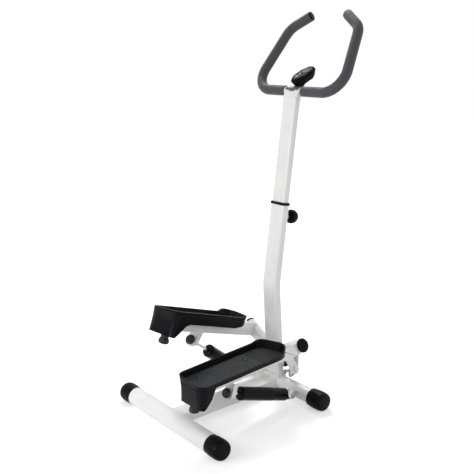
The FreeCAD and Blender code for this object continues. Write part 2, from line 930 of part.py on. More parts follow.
def hub_sleeve():
    """Return the right pivot sleeve with its link lever welded under it."""
    inner = sleeve_diameter - 2 * sleeve_wall
    start = along_pivot(sleeve_start)
    end = along_pivot(sleeve_end)
    sleeve = cylinder(sleeve_diameter, start, end)
    lever_start = along_pivot(lever_position - lever_thickness / 2)
    across = vector(0, 1, 0)
    down = lever_down()
    tip = lever_start.add(down * lever_length)
    half = across * (lever_width / 2)
    plate = polygon_prism(
        [lever_start.sub(half), lever_start.add(half), tip.add(half), tip.sub(half)],
        pivot_direction() * lever_thickness,
    )
    plate = plate.fuse(cylinder(lever_width, tip, tip.add(pivot_direction() * lever_thickness)))
    swung = swing_about_mid(plate, 0)
    sleeve = sleeve.fuse(swung)
    sleeve = sleeve.cut(cylinder(inner, start, end))
    hole_centre = link_point()
    reach = pivot_direction() * 40
    return sleeve.cut(cylinder(link_bolt_diameter, hole_centre.sub(reach), hole_centre.add(reach)))


def swing_about_mid(shape, angle):
    """Return a lever part turned so that it hangs plumb at mid travel, plus an angle."""
    mid = arm_low_angle - arm_swing / 2
    copy = shape.copy()
    copy.rotate(pivot_apex(), pivot_direction(), angle - mid)
    return copy


def link_point():
    """Return the link bolt's place on the link lever, with the lever level."""
    tip = along_pivot(lever_position).add(lever_down() * lever_length)
    mid = arm_low_angle - arm_swing / 2
    turn = FreeCAD.Rotation(pivot_direction(), -mid)
    return pivot_apex().add(turn.multVec(tip.sub(pivot_apex())))


def link_bolt():
    """Return the right link bolt, its head outside the lever and its nut inboard."""
    centre = link_point()
    axis = pivot_direction()
    inner = centre.sub(axis * (lever_thickness / 2 + link_bolt_reach))
    outer = centre.add(axis * (lever_thickness / 2))
    shank = cylinder(link_bolt_diameter, inner, outer)
    head = hexagon(13, outer, outer.add(axis * link_bolt_head))
    nut = hexagon(12, inner.sub(axis * link_nut_thickness), inner)
    return shank.fuse(head).fuse(nut)


def hub_bushes():
    """Return the two plastic bushes in the right pivot sleeve."""
    outer = sleeve_diameter - 2 * sleeve_wall
    bore = axle_diameter + 2 * running_clearance
    inner_bush = tube(outer, bore, along_pivot(sleeve_start), along_pivot(sleeve_start + bush_length))
    outer_bush = tube(outer, bore, along_pivot(axle_end - 1 - bush_length), along_pivot(axle_end - 1))
    return Part.makeCompound([inner_bush, outer_bush])


def hub_cap():
    """Return the domed cap in the outer end of the right pivot sleeve."""
    bore = sleeve_diameter / 2 - sleeve_wall
    rim = sleeve_diameter / 2 + 1
    outline = [
        (bore, -5),
        (bore, 0),
        (rim, 0),
        (rim, cap_dome * 0.35),
        (rim * 0.9, cap_dome * 0.75),
        (rim * 0.6, cap_dome),
        (0, cap_dome + 0.8),
        (0, cap_dome - 2.5),
        (bore * 0.6, cap_dome - 3),
        (bore - 2.5, cap_dome * 0.3),
        (bore - 2.5, -5),
    ]
    return revolve(outline, along_pivot(sleeve_end), pivot_direction())


def arm_tube():
    """Return the right lever's tube with the damper bracket welded under it."""
    front = pivot_apex().y
    length = front - arm_rear_y
    bar = rounded_bar(arm_width, arm_height, arm_corner, length)
    inner = rounded_bar(arm_width - 2 * arm_wall, arm_height - 2 * arm_wall, arm_corner - arm_wall, length)
    bar = bar.cut(inner)
    bar.rotate(vector(0, 0, 0), vector(1, 0, 0), 90)
    bar.translate(vector(arm_centre_x, front, arm_bottom_height + arm_height / 2))
    bar = bar.cut(cylinder(sleeve_diameter, along_pivot(0), along_pivot(200)))
    for y in (plate_screw_rear_y, plate_screw_front_y):
        start = vector(arm_centre_x, y, arm_bottom_height + arm_height - 10)
        bar = bar.cut(cylinder(plate_screw_shank, start, start.add(vector(0, 0, 20))))
    return bar.fuse(damper_bracket())


def damper_bracket():
    """Return the right damper's bracket: a plate square to the damper between two short cheeks."""
    centre = damper_arm_point()
    axis = level_damper_direction()
    side = vector(1, 0, 0).sub(axis * axis.x).normalize()
    up = side.cross(axis).normalize()
    if up.z < 0:
        up = up * -1
    half = bracket_width / 2
    rise = (arm_bottom_height - centre.z) / up.z + 11
    back = axis * (bracket_thickness / 2)
    corners = [
        centre.add(side * -half).add(up * -bracket_below),
        centre.add(side * half).add(up * -bracket_below),
        centre.add(side * half).add(up * rise),
        centre.add(side * -half).add(up * rise),
    ]
    plate = polygon_prism([corner.sub(back) for corner in corners], axis * bracket_thickness)
    lower = [edge for edge in plate.Edges if rounding_edge(edge, centre, axis)]
    plate = plate.makeFillet(8, lower)
    for start in (-half, half - bracket_wall):
        low = centre.add(side * start).add(up * (8 - bracket_below))
        outline = [
            low,
            low.sub(axis * bracket_cheek),
            low.sub(axis * bracket_cheek).add(up * (rise + bracket_below - 8)),
            low.add(up * (rise + bracket_below - 8)),
        ]
        plate = plate.fuse(polygon_prism(outline, side * bracket_wall))
    reach = axis * 20
    plate = plate.cut(cylinder(bracket_hole, centre.sub(reach), centre.add(reach)))
    under = box(vector(0, arm_rear_y, 0), vector(2 * arm_centre_x, axle_base, arm_bottom_height))
    return plate.common(under)


def rounding_edge(edge, centre, axis):
    """Tell whether an edge of the bracket plate is one of its two lower corners."""
    direction = edge.tangentAt(edge.FirstParameter)
    return abs(direction.dot(axis)) > 0.99 and edge.CenterOfMass.z < centre.z


# Footplate


def plate_outline(inset, height):
    """Return the footplate's outline seen from above, inset, at a height."""
    points = [
        vector(plate_heel_inner_x + inset, plate_heel_y + inset, height),
        vector(plate_heel_outer_x - inset, plate_heel_y + inset, height),
        vector(plate_toe_outer_x - inset, plate_toe_y - inset, height),
        vector(plate_toe_inner_x + inset, plate_toe_y - inset, height),
    ]
    radii = [plate_heel_radius, plate_heel_radius, plate_toe_outer_radius, plate_toe_inner_radius]
    return rounded_outline(points, [radius - inset for radius in radii])


def plate_draft_at(height):
    """Return how far the footplate's drafted sides stand in from its rim at a height."""
    heel_bottom = arm_bottom_height + arm_height - plate_heel_drop
    return plate_draft * (plate_toe_top - height) / (plate_toe_top - heel_bottom)


def plate_block(wall, low, high):
    """Return the drafted block inside the footplate's sides, a wall's thickness in."""
    bottom = plate_outline(wall + plate_draft_at(low), low)
    top = plate_outline(wall + plate_draft_at(high), high)
    return Part.makeLoft([bottom, top], True)


def plate_side_profile():
    """Return the footplate's side outline as points, heel first."""
    floor_bottom = arm_bottom_height + arm_height
    skirt = floor_bottom - plate_skirt_drop
    heel = floor_bottom - plate_heel_drop
    heel_end = plate_heel_y + plate_heel_length
    rim = plate_top_height + plate_inner_rim
    return [
        vector(0, plate_heel_y - 5, heel),
        vector(0, heel_end, heel),
        vector(0, heel_end + plate_heel_ramp * 0.4, heel + 8),
        vector(0, heel_end + plate_heel_ramp * 0.9, skirt - 5),
        vector(0, heel_end + plate_heel_ramp * 1.3, skirt),
        vector(0, plate_toe_y - 48, skirt),
        vector(0, plate_toe_y - 6, floor_bottom + 2),
        vector(0, plate_toe_y + 5, floor_bottom + 4),
        vector(0, plate_toe_y + 5, plate_toe_top),
        vector(0, plate_toe_rise_end, plate_toe_top),
        vector(0, plate_toe_rise_start, rim),
        vector(0, plate_heel_y - 5, rim),
    ]


def plate_rim_cutter():
    """Return the cutter that slopes the rim down from the inner side to the outer side."""
    inner = plate_top_height + plate_inner_rim
    outer = plate_top_height + plate_outer_rim
    rise = plate_toe_top + 5
    wedge = polygon_prism(
        [
            vector(plate_heel_inner_x, plate_heel_y - 5, inner),
            vector(plate_heel_outer_x, plate_heel_y - 5, outer),
            vector(plate_heel_outer_x + 5, plate_heel_y - 5, outer),
            vector(plate_heel_outer_x + 5, plate_heel_y - 5, rise),
            vector(plate_heel_inner_x, plate_heel_y - 5, rise),
        ],
        vector(0, plate_toe_y - plate_heel_y, 0),
    )
    front = polygon_prism(
        [
            vector(0, plate_heel_y - 10, plate_top_height),
            vector(0, plate_toe_rise_start, plate_top_height),
            vector(0, plate_toe_rise_end, rise),
            vector(0, plate_heel_y - 10, rise),
        ],
        vector(2 * plate_heel_outer_x, 0, 0),
    )
    return wedge.common(front)


def footplate():
    """Return the right footplate: a moulded tray with a deep heel, a skirt and a ribbed tread."""
    floor_bottom = arm_bottom_height + arm_height
    heel_bottom = floor_bottom - plate_heel_drop
    body = plate_block(0, heel_bottom, plate_toe_top)
    body = body.common(polygon_prism(plate_side_profile(), vector(2 * plate_heel_outer_x, 0, 0)))
    body = body.cut(plate_rim_cutter())
    tray_top = plate_toe_top + 5
    tray = Part.makeLoft([plate_outline(10, plate_top_height), plate_outline(plate_wall, tray_top)], True)
    body = body.cut(tray)
    body = body.cut(plate_block(plate_wall, heel_bottom + plate_heel_floor, floor_bottom))
    open_start = plate_heel_y + plate_heel_length + plate_heel_ramp * 0.7
    open_side = box(
        vector(plate_toe_outer_x - 20, open_start, heel_bottom - 5),
        vector(plate_heel_outer_x + 20, plate_toe_y + 10, floor_bottom),
    )
    body = body.cut(open_side)
    body = body.fuse(tread_ribs())
    for y in (plate_screw_rear_y, plate_screw_front_y):
        foot = vector(arm_centre_x, y, floor_bottom)
        tread = foot.add(vector(0, 0, plate_floor))
        above = foot.add(vector(0, 0, 20))
        body = body.cut(cylinder(plate_screw_boss, tread, above))
        body = body.cut(cylinder(plate_screw_shank + 0.6, foot.sub(vector(0, 0, 5)), above))
    bolt_low = vector(bumper_x, bumper_y, heel_bottom - 5)
    body = body.cut(cylinder(8.4, bolt_low, bolt_low.add(vector(0, 0, 12))))
    return body.removeSplitter()


def tread_ribs():
    """Return the slanting tread ribs, trimmed to the tray's flat floor."""
    slope = math.radians(rib_angle)
    direction = vector(-math.sin(slope), math.cos(slope), 0)
    across = vector(math.cos(slope), math.sin(slope), 0)
    start = vector(plate_heel_outer_x, plate_heel_y, plate_top_height - 0.2)
    reach = plate_toe_y - plate_heel_y
    count = int((reach * math.sin(slope) + 2 * (plate_heel_outer_x - plate_toe_inner_x)) / rib_pitch)
    bars = []
    for step in range(count):
        centre = start.add(across * (rib_pitch * (step - count / 2)))
        corner = centre.sub(direction * reach)
        bars.append(
            polygon_prism(
                [
                    corner,
                    corner.add(across * rib_width),
                    corner.add(across * rib_width).add(direction * (2.4 * reach)),
                    corner.add(direction * (2.4 * reach)),
                ],
                vector(0, 0, rib_height + 0.2),
            )
        )
    field = Part.Face(plate_outline(rib_margin, plate_top_height - 1)).extrude(vector(0, 0, 10))
    limit = box(
        vector(0, plate_heel_y + rib_margin, plate_top_height - 1),
        vector(2 * plate_heel_outer_x, rib_field_end, plate_top_height + 9),
    )
    return Part.makeCompound(bars).common(field.common(limit))


def plate_screws():
    """Return the two screws that hold the right footplate on its lever."""
    screws = []
    for y in (plate_screw_rear_y, plate_screw_front_y):
        seat = vector(arm_centre_x, y, plate_top_height)
        outline = [
            (0, -plate_screw_length),
            (plate_screw_shank / 2 - 0.1, -plate_screw_length),
            (plate_screw_shank / 2 - 0.1, 0),
            (plate_screw_head / 2, 0),
            (plate_screw_head / 2 * 0.85, 2.2),
            (0, 3),
        ]
        screws.append(revolve(outline, seat, vector(0, 0, 1)))
    return Part.makeCompound(screws)


def heel_bumper():
    """Return the rubber bumper under the right heel, with its stud up into the lever."""
    top = arm_bottom_height + arm_height - plate_heel_drop
    origin = vector(bumper_x, bumper_y, top - bumper_height)
    radius = bumper_diameter / 2
    neck = bumper_neck / 2
    outline = [
        (0, 0),
        (radius * 0.55, 1),
        (radius * 0.88, bumper_height * 0.12),
        (radius, bumper_height * 0.3),
        (radius * 0.94, bumper_height * 0.5),
        (neck, bumper_height * 0.68),
        (neck, bumper_height),
        (4, bumper_height),
        (4, bumper_height + plate_heel_floor),
        (0, bumper_height + plate_heel_floor),
    ]
    return revolve(outline, origin, vector(0, 0, 1))


# Dampers


def damper_mount():
    """Return the right damper's lower pivot point."""
    return vector(damper_mount_x, damper_mount_y, damper_mount_z)


def damper_arm_point():
    """Return the right damper's place in its bracket, with the lever level."""
    return vector(damper_arm_x, damper_arm_y, arm_bottom_height - damper_arm_drop)


def turned_point(point, angle):
    """Return a level lever point after the right lever turns by an angle, positive down."""
    turn = FreeCAD.Rotation(pivot_direction(), angle)
    return pivot_apex().add(turn.multVec(point.sub(pivot_apex())))


def damper_span(angle):
    """Return the vector from the mount to the bracket with the lever at an angle."""
    return turned_point(damper_arm_point(), angle).sub(damper_mount())


def level_damper_direction():
    """Return the low damper direction, turned back into the level lever's frame."""
    low = damper_span(arm_low_angle).normalize()
    return FreeCAD.Rotation(pivot_direction(), -arm_low_angle).multVec(low)


def closed_bracket_distance():
    """Return the distance from the mount to the bracket with the lever down."""
    return damper_span(arm_low_angle).Length


def damper_hinge():
    """Return the unit direction of the right damper's pin, square to the damper all through its swing."""
    low = damper_span(arm_low_angle)
    high = damper_span(arm_low_angle - arm_swing)
    normal = low.cross(high).normalize()
    return normal if normal.x > 0 else normal * -1


def placed_damper_part(shape, side):
    """Return a damper part, drawn along +Z from its mount, laid along one side's damper."""
    sign = 1 if side == "right" else -1
    span = damper_span(lever_angle(side))
    hinge = damper_hinge()
    along = vector(sign * span.x, span.y, span.z).normalize()
    across = vector(hinge.x, sign * hinge.y, sign * hinge.z)
    other = along.cross(across)
    placed = shape.copy()
    placed.Placement = FreeCAD.Placement(FreeCAD.Matrix(
        across.x, other.x, along.x, sign * damper_mount_x,
        across.y, other.y, along.y, damper_mount_y,
        across.z, other.z, along.z, damper_mount_z,
        0, 0, 0, 1,
    ))
    return placed


def damper_barrel():
    """Return the damper's barrel with its front eye, drawn along +Z from the mount."""
    front = damper_barrel_front_diameter / 2
    rear = damper_barrel_diameter / 2
    bore = damper_barrel_bore / 2
    end = damper_neck + damper_barrel_length - damper_gland_length
    outline = [
        (0, damper_eye_diameter / 2 - 3),
        (damper_eye_width / 2 - 1.2, damper_eye_diameter / 2 - 3),
        (damper_eye_width / 2 - 0.6, damper_neck - 2),
        (front - 5, damper_neck),
        (front, damper_neck + 5),
        (front, damper_neck + damper_barrel_length * 0.28),
        (rear, damper_neck + damper_barrel_length * 0.32),
        (rear, end),
        (bore, end),
        (bore, damper_neck + 8),
        (0, damper_neck + 8),
    ]
    body = revolve(outline, vector(0, 0, 0), vector(0, 0, 1))
    half = vector(damper_eye_width / 2, 0, 0)
    body = body.fuse(cylinder(damper_eye_diameter, half * -1, half))
    bore = damper_pin_diameter + 2 * running_clearance
    return body.cut(cylinder(bore, half * -2, half * 2))


def damper_gland():
    """Return the gland ring that closes the barrel round the rod."""
    end = damper_neck + damper_barrel_length
    start = end - damper_gland_length
    rear = damper_barrel_diameter / 2
    hole = damper_rod_diameter / 2 + running_clearance
    outline = [
        (hole, start),
        (rear, start),
        (rear, end - 4),
        (rear - 4, end),
        (hole, end),
    ]
    return revolve(outline, vector(0, 0, 0), vector(0, 0, 1))


def damper_rod(distance):
    """Return the rod with its piston and nut, for a bracket at a distance from the mount."""
    nut_end = distance - bracket_thickness / 2 - rod_stop_gap
    nut_start = nut_end - rod_nut_length
    tail = distance + bracket_thickness / 2 + rod_stop_gap
    closed = closed_bracket_distance()
    inner = distance - closed + damper_neck + damper_barrel_length - damper_rod_insert
    rod = cylinder(damper_rod_diameter, vector(0, 0, inner), vector(0, 0, tail + rod_stop_length * 0.7))
    piston_diameter = damper_barrel_bore - 2 * damper_piston_gap
    piston = cylinder(piston_diameter, vector(0, 0, inner), vector(0, 0, inner + damper_piston_length))
    nut = hexagon(rod_nut_flats, vector(0, 0, nut_start), vector(0, 0, nut_end))
    return rod.fuse(piston).fuse(nut)


def rod_stop(distance):
    """Return the black stop knob screwed on the rod behind the bracket."""
    start = distance + bracket_thickness / 2 + rod_stop_gap
    radius = rod_stop_diameter / 2
    hole = damper_rod_diameter / 2
    outline = [
        (hole, start),
        (radius * 0.8, start),
        (radius, start + 3),
        (radius, start + rod_stop_length * 0.6),
        (radius * 0.8, start + rod_stop_length),
        (0, start + rod_stop_length + 1),
        (0, start + rod_stop_length * 0.7),
        (hole, start + rod_stop_length * 0.7),
    ]
    return revolve(outline, vector(0, 0, 0), vector(0, 0, 1))


def along_pin(distance):
    """Return the point of the right damper's pin at a distance outward from its middle."""
    return damper_mount().add(damper_hinge() * distance)


def mount_plate():
    """Return the right damper's mounting plate on the front cross tube, square to the pin."""
    axis = damper_hinge()
    forward = vector(0, 1, 0).sub(axis * axis.y).normalize()
    up = axis.cross(forward)
    inner = along_pin(-damper_eye_width / 2 - mount_face_gap - mount_plate_thickness)
    half = up * (mount_plate_height / 2)
    reach = forward * (axle_base - damper_mount_y + front_tube_diameter)
    outline = [inner.sub(half), inner.sub(half).add(reach), inner.add(half).add(reach), inner.add(half)]
    plate = polygon_prism(outline, axis * mount_plate_thickness)
    plate = plate.fuse(cylinder(mount_plate_height, inner, inner.add(axis * mount_plate_thickness)))
    tube_start = vector(0, axle_base, front_axis_height)
    plate = plate.cut(cylinder(front_tube_diameter, tube_start, tube_start.add(vector(200, 0, 0))))
    behind = box(vector(0, axle_base - 1, -20), vector(200, axle_base + 2 * front_tube_diameter, 100))
    return plate.cut(behind).cut(cylinder(damper_pin_diameter, along_pin(-60), along_pin(0)))


def mount_pin():
    """Return the right damper's pivot pin with its round cap and nut."""
    plate_end = -damper_eye_width / 2 - mount_face_gap - mount_plate_thickness
    cap_start = damper_eye_width / 2 + mount_face_gap
    shank = damper_pin_diameter / 2
    rim = damper_pin_cap / 2
    outline = [
        (0, plate_end - 1),
        (shank, plate_end - 1),
        (shank, cap_start),
        (rim, cap_start),
        (rim, cap_start + damper_pin_head * 0.5),
        (rim * 0.8, cap_start + damper_pin_head * 0.85),
        (0, cap_start + damper_pin_head),
    ]
    pin = revolve(outline, damper_mount(), damper_hinge())
    return pin.fuse(hexagon(16, along_pin(plate_end - 8), along_pin(plate_end)))


# Rocker


def rocker_axis_y():
    """Return the Y of the rocker's upright pivot."""
    return lower_centre_y(rocker_height) + post_depth / 2 + rocker_gap


def rocker_yaw():
    """Return how far the rocker is turned from square when one lever is down."""
    return arm_swing / 2 * lever_length / rocker_ear_x


def link_height():
    """Return the link bolts' height at mid travel, where they cross the rocker's ears."""
    tip = along_pivot(lever_position).add(lever_down() * lever_length)
    inboard = (tip.x - rocker_ear_x) / pivot_direction().x
    return tip.z - inboard * pivot_direction().z


def rocker_ear(side):
    """Return one ear of the rocker: a plate that hangs from the bar and reaches back to the bolt."""
    axis_y = rocker_axis_y()
    ear_y = pivot_apex().y
    height = link_height()
    start_x = side * rocker_ear_x - rocker_ear_thickness / 2
    low_z = height - rocker_ear_height / 2
    high_z = height + rocker_ear_height / 2
    rear_y = ear_y - rocker_ear_width / 2
    hanger_y = axis_y - rocker_bar_depth / 2
    front_y = axis_y + rocker_bar_depth / 2
    top_z = rocker_height + rocker_bar_height / 2
    corners = [
        vector(start_x, rear_y, low_z),
        vector(start_x, front_y, low_z),
        vector(start_x, front_y, top_z),
        vector(start_x, hanger_y, top_z),
        vector(start_x, hanger_y, high_z),
        vector(start_x, rear_y, high_z),
    ]
    outline = rounded_outline(corners, [9, 9, 3, 3, 3, 9])
    return Part.Face(outline).extrude(vector(rocker_ear_thickness, 0, 0))


def rocker_bar():
    """Return the rocker: a cross bar before the post with a slotted ear at each end."""
    axis_y = rocker_axis_y()
    half_thick = rocker_ear_thickness / 2
    reach_x = rocker_ear_x - half_thick
    half_height = rocker_bar_height / 2
    low = vector(-reach_x, axis_y - rocker_bar_depth / 2, rocker_height - half_height)
    high = vector(reach_x, axis_y + rocker_bar_depth / 2, rocker_height + half_height)
    bar = box(low, high)
    bar = bar.makeFillet(3, [edge for edge in bar.Edges if edge.Length > rocker_ear_x])
    for side in (-1, 1):
        ear = rocker_ear(side).cut(rocker_slot(side * rocker_ear_x, pivot_apex().y, link_height()))
        bar = bar.fuse(ear)
    hole = rocker_bolt_diameter + 2 * running_clearance
    reach = vector(0, 0, rocker_bar_height)
    centre = vector(0, axis_y, rocker_height)
    bar = bar.cut(cylinder(hole, centre.sub(reach), centre.add(reach)))
    bar.rotate(centre, vector(0, 0, 1), rocker_yaw())
    return bar


def rocker_slot(x, y, height):
    """Return the cutter for one ear's upright slot."""
    radius = rocker_slot_width / 2
    straight = rocker_slot_height / 2 - radius
    reach = rocker_ear_thickness
    ends = []
    for rise in (-straight, straight):
        start = vector(x - reach, y, height + rise)
        ends.append(cylinder(2 * radius, start, start.add(vector(2 * reach, 0, 0))))
    low = vector(x - reach, y - radius, height - straight)
    middle = box(low, vector(x + reach, y + radius, height + straight))
    return ends[0].fuse(ends[1]).fuse(middle)


def rocker_bracket():
    """Return the lug on the post's front, over the rocker, that carries the rocker's bolt."""
    axis_y = rocker_axis_y()
    low_z = rocker_height + rocker_bar_height / 2 + rocker_face_gap
    half = rocker_bar_depth * 0.8
    low = vector(-half, axis_y - rocker_gap - 8, low_z)
    high = vector(half, axis_y, low_z + rocker_plate_thickness)
    lug = box(low, high).fuse(cylinder(2 * half, vector(0, axis_y, low.z), vector(0, axis_y, high.z)))
    lug = lug.cut(post_sweep(post_width, post_depth, post_corner))
    lug = lug.cut(box(vector(-half - 1, 0, low.z - 1), vector(half + 1, lower_centre_y(low.z), high.z + 1)))
    bolt_low = vector(0, axis_y, low.z - 5)
    return lug.cut(cylinder(rocker_bolt_diameter, bolt_low, vector(0, axis_y, high.z + 5)))


def rocker_bolt():
    """Return the rocker's upright pivot bolt with its head over the lug and a thin nut below."""
    axis_y = rocker_axis_y()
    low = rocker_height - rocker_bar_height / 2 - rocker_face_gap
    high = rocker_height + rocker_bar_height / 2 + rocker_face_gap + rocker_plate_thickness
    shank = cylinder(rocker_bolt_diameter, vector(0, axis_y, low), vector(0, axis_y, high))
    head = hexagon(15, vector(0, axis_y, high), vector(0, axis_y, high + 6))
    nut = hexagon(15, vector(0, axis_y, low - 4), vector(0, axis_y, low))
    return shank.fuse(head).fuse(nut)


# Build


def lever_angle(side):
    """Return how far one side's lever stands from level, positive down."""
    return arm_low_angle if side == "right" else arm_low_angle - arm_swing


def placed_arm_part(shape, side):
    """Return a level right-hand lever part where it stands on one side."""
    placed = shape.copy()
    placed.rotate(pivot_apex(), pivot_direction(), lever_angle(side))
    return placed if side == "right" else mirrored(placed)


def base_pieces():
    """Return the base, the fixed post, the rocker and the two locking knobs."""
    rear_cap = end_cap(rear_tube_diameter, rear_tube_bare, 0, rear_axis_height)
    front_cap = end_cap(front_tube_diameter, front_tube_bare, axle_base, front_axis_height)
    axle = hub_axle()
    bolt = axle_bolt()
    plate = mount_plate()
    pin = mount_pin()
    return {
        "rear_cross_tube": cross_tube(rear_tube_diameter, rear_tube_bare, 0, rear_axis_height),
        "front_cross_tube": cross_tube(front_tube_diameter, front_tube_bare, axle_base, front_axis_height),
        "spine_beam": spine_beam(),
        "rear_right_cap": rear_cap,
        "rear_left_cap": mirrored(rear_cap),
        "front_right_cap": front_cap,
        "front_left_cap": mirrored(front_cap),
        "post_saddle": post_saddle(),
        "lower_post": lower_post(),
        "collar_bush": collar_bush(),
        "knob_bosses": Part.makeCompound([clamp_boss(), foot_knob_boss_tube()]),
        "clamp_screw": clamp_screw(),
        "clamp_knob": clamp_knob(),
        "foot_screw": foot_screw(),
        "foot_knob": foot_knob(),
        "hub_axles": Part.makeCompound([axle, mirrored(axle)]),
        "axle_bolts": Part.makeCompound([bolt, mirrored(bolt)]),
        "damper_mounts": Part.makeCompound([plate, mirrored(plate)]),
        "damper_pins": Part.makeCompound([pin, mirrored(pin)]),
        "rocker_bracket": rocker_bracket(),
        "rocker_bolt": rocker_bolt(),
        "rocker_bar": rocker_bar(),
    }


def lever_pieces():
    """Return both foot levers and both dampers."""
    level = {
        "hub_sleeve": hub_sleeve(),
        "hub_bushes": hub_bushes(),
        "hub_cap": hub_cap(),
        "arm_tube": arm_tube(),
        "link_bolt": link_bolt(),
        "footplate": footplate(),
        "plate_screws": plate_screws(),
        "heel_bumper": heel_bumper(),
    }
    pieces = {}
    for side in ("right", "left"):
        for name, shape in level.items():
            pieces[side + "_" + name] = placed_arm_part(shape, side)
        distance = damper_span(lever_angle(side)).Length
        pieces[side + "_damper_barrel"] = placed_damper_part(damper_barrel(), side)
        pieces[side + "_damper_gland"] = placed_damper_part(damper_gland(), side)
        pieces[side + "_damper_rod"] = placed_damper_part(damper_rod(distance), side)
        pieces[side + "_rod_stop"] = placed_damper_part(rod_stop(distance), side)
    return pieces


def mast_pieces():
    """Return the sliding post, the handlebar and the console."""
    return {
        "upper_post": upper_post(),
        "handlebar_saddle": handlebar_saddle(),
        "handlebar_tube": handlebar(),
        "right_grip": grip(1),
        "left_grip": grip(-1),
        "right_tip_plug": tip_plug(1),
        "left_tip_plug": tip_plug(-1),
        "console_foot": console_foot(),
        "console_back": console_back(),
        "console_face": console_face(),
        "console_window": console_window(),
        "main_button": console_button(button_diameter, button_offset),
        "small_button": console_button(small_button_diameter, small_button_offset),
    }


os.makedirs("parts", exist_ok=True)
write_parts({**base_pieces(), **lever_pieces(), **mast_pieces()})
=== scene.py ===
"""Looks of a twist stepper: frame, levers, dampers, mast, handlebar and console."""

import json
import logging
import math
from dataclasses import dataclass, field
from enum import Enum
from typing import NamedTuple

import bmesh
import bpy
from mathutils import Matrix, Vector


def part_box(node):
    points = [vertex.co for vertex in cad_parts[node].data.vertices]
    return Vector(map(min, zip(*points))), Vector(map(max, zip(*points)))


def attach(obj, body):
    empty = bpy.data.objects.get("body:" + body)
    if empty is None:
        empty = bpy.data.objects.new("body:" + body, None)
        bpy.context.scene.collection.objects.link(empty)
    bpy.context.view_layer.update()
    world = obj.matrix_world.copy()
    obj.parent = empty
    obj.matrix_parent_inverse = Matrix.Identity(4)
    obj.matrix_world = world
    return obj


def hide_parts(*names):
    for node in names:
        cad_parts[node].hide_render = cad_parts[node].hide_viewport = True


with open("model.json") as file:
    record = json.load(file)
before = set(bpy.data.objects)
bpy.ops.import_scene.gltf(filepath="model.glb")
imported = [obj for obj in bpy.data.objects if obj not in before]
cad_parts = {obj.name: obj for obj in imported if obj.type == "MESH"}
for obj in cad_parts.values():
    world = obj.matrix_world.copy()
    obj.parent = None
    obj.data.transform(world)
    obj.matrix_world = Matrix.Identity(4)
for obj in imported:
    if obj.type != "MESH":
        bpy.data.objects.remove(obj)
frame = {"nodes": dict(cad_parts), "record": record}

LOG = logging.getLogger("stepper")
MM = 0.001
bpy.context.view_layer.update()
BODY_OF = {
    node: body
    for body, nodes in frame["record"]["behaviour"]["bodies"].items()
    for node in nodes
}
JOINTS = {joint["name"]: joint for joint in frame["record"]["behaviour"]["joints"]}

# Corners of a node's triangles that lie closer than this are one corner, in millimetres.
MERGE_DISTANCE = 0.002
# Faces that turn by less than this from one to the next are one flat face, in degrees.
FLAT_ANGLE = 0.6
# Edges that turn by more than this are rounded, in degrees.
ROUNDED_ANGLE = 35.0
# Edges that turn by more than this once they are rounded look sharp, in degrees.
SHARP_ANGLE = 38.0
# Faces across the rounded edges of moulded and enamelled pieces, which catch the light.
SMOOTH_ROUND = 3


class Side(Enum):
    """The user's right or left side of the machine."""

    RIGHT = "right"
    LEFT = "left"

    @property
    def sign(self) -> float:
        """Direction of this side along X."""
        return 1.0 if self is Side.RIGHT else -1.0


class Grain(Enum):
    """How the surface of a moulded plastic was textured in its mould."""

    SMOOTH = 0.0
    FINE = 0.12
    COARSE = 0.3


class Pattern(Enum):
    """The uneven patterns of the finishes: the node that makes each and the output that gives it."""

    CLOUDS = ("ShaderNodeTexNoise", "Fac")
    CELLS = ("ShaderNodeTexVoronoi", "Distance")


class Relief(NamedTuple):
    """One layer of a surface's bumps.

    Attributes:
        height: the pattern that gives its height.
        strength: how strong it is, from 0 to 1.
        depth: how deep it is, in millimetres.
    """

    height: bpy.types.NodeSocket
    strength: float
    depth: float


def linear(code: str) -> tuple[float, float, float, float]:
    """Turn an sRGB hex colour into linear light.

    Args:
        code: the colour as #RRGGBB.

    Returns:
        The linear red, green, blue and an alpha of one.
    """
    channels = [int(code[index:index + 2], 16) / 255 for index in (1, 3, 5)]
    light = [c / 12.92 if c <= 0.04045 else ((c + 0.055) / 1.055) ** 2.4 for c in channels]
    return (light[0], light[1], light[2], 1.0)


def add_node(
    tree: bpy.types.NodeTree,
    kind: str,
    values: dict[str | int, object] | None = None,
    links: dict[str | int, bpy.types.NodeSocket] | None = None,
    **settings: object,
) -> bpy.types.Node:
    """Add one shader node with its settings, values and links.

    Args:
        tree: the node tree to add to.
        kind: the node's type name.
        values: input sockets and the constants they hold.
        links: input sockets and the outputs that feed them.
        settings: the node's own properties.

    Returns:
        The new node.
    """
    node = tree.nodes.new(kind)
    for name, value in settings.items():
        setattr(node, name, value)
    for socket, value in (values or {}).items():
        node.inputs[socket].default_value = value
    for socket, source in (links or {}).items():
        tree.links.new(source, node.inputs[socket])
    return node


def set_ramp(node: bpy.types.Node, stops: list[tuple[float, str]]) -> None:
    """Give a colour ramp its stops.

    Args:
        node: the ColorRamp node.
        stops: positions and sRGB colours, in rising order.
    """
    elements = node.color_ramp.elements
    while len(elements) > 1:
        elements.remove(elements[-1])
    elements[0].position, elements[0].color = stops[0][0], linear(stops[0][1])
    for position, colour in stops[1:]:
        elements.new(position).color = linear(colour)


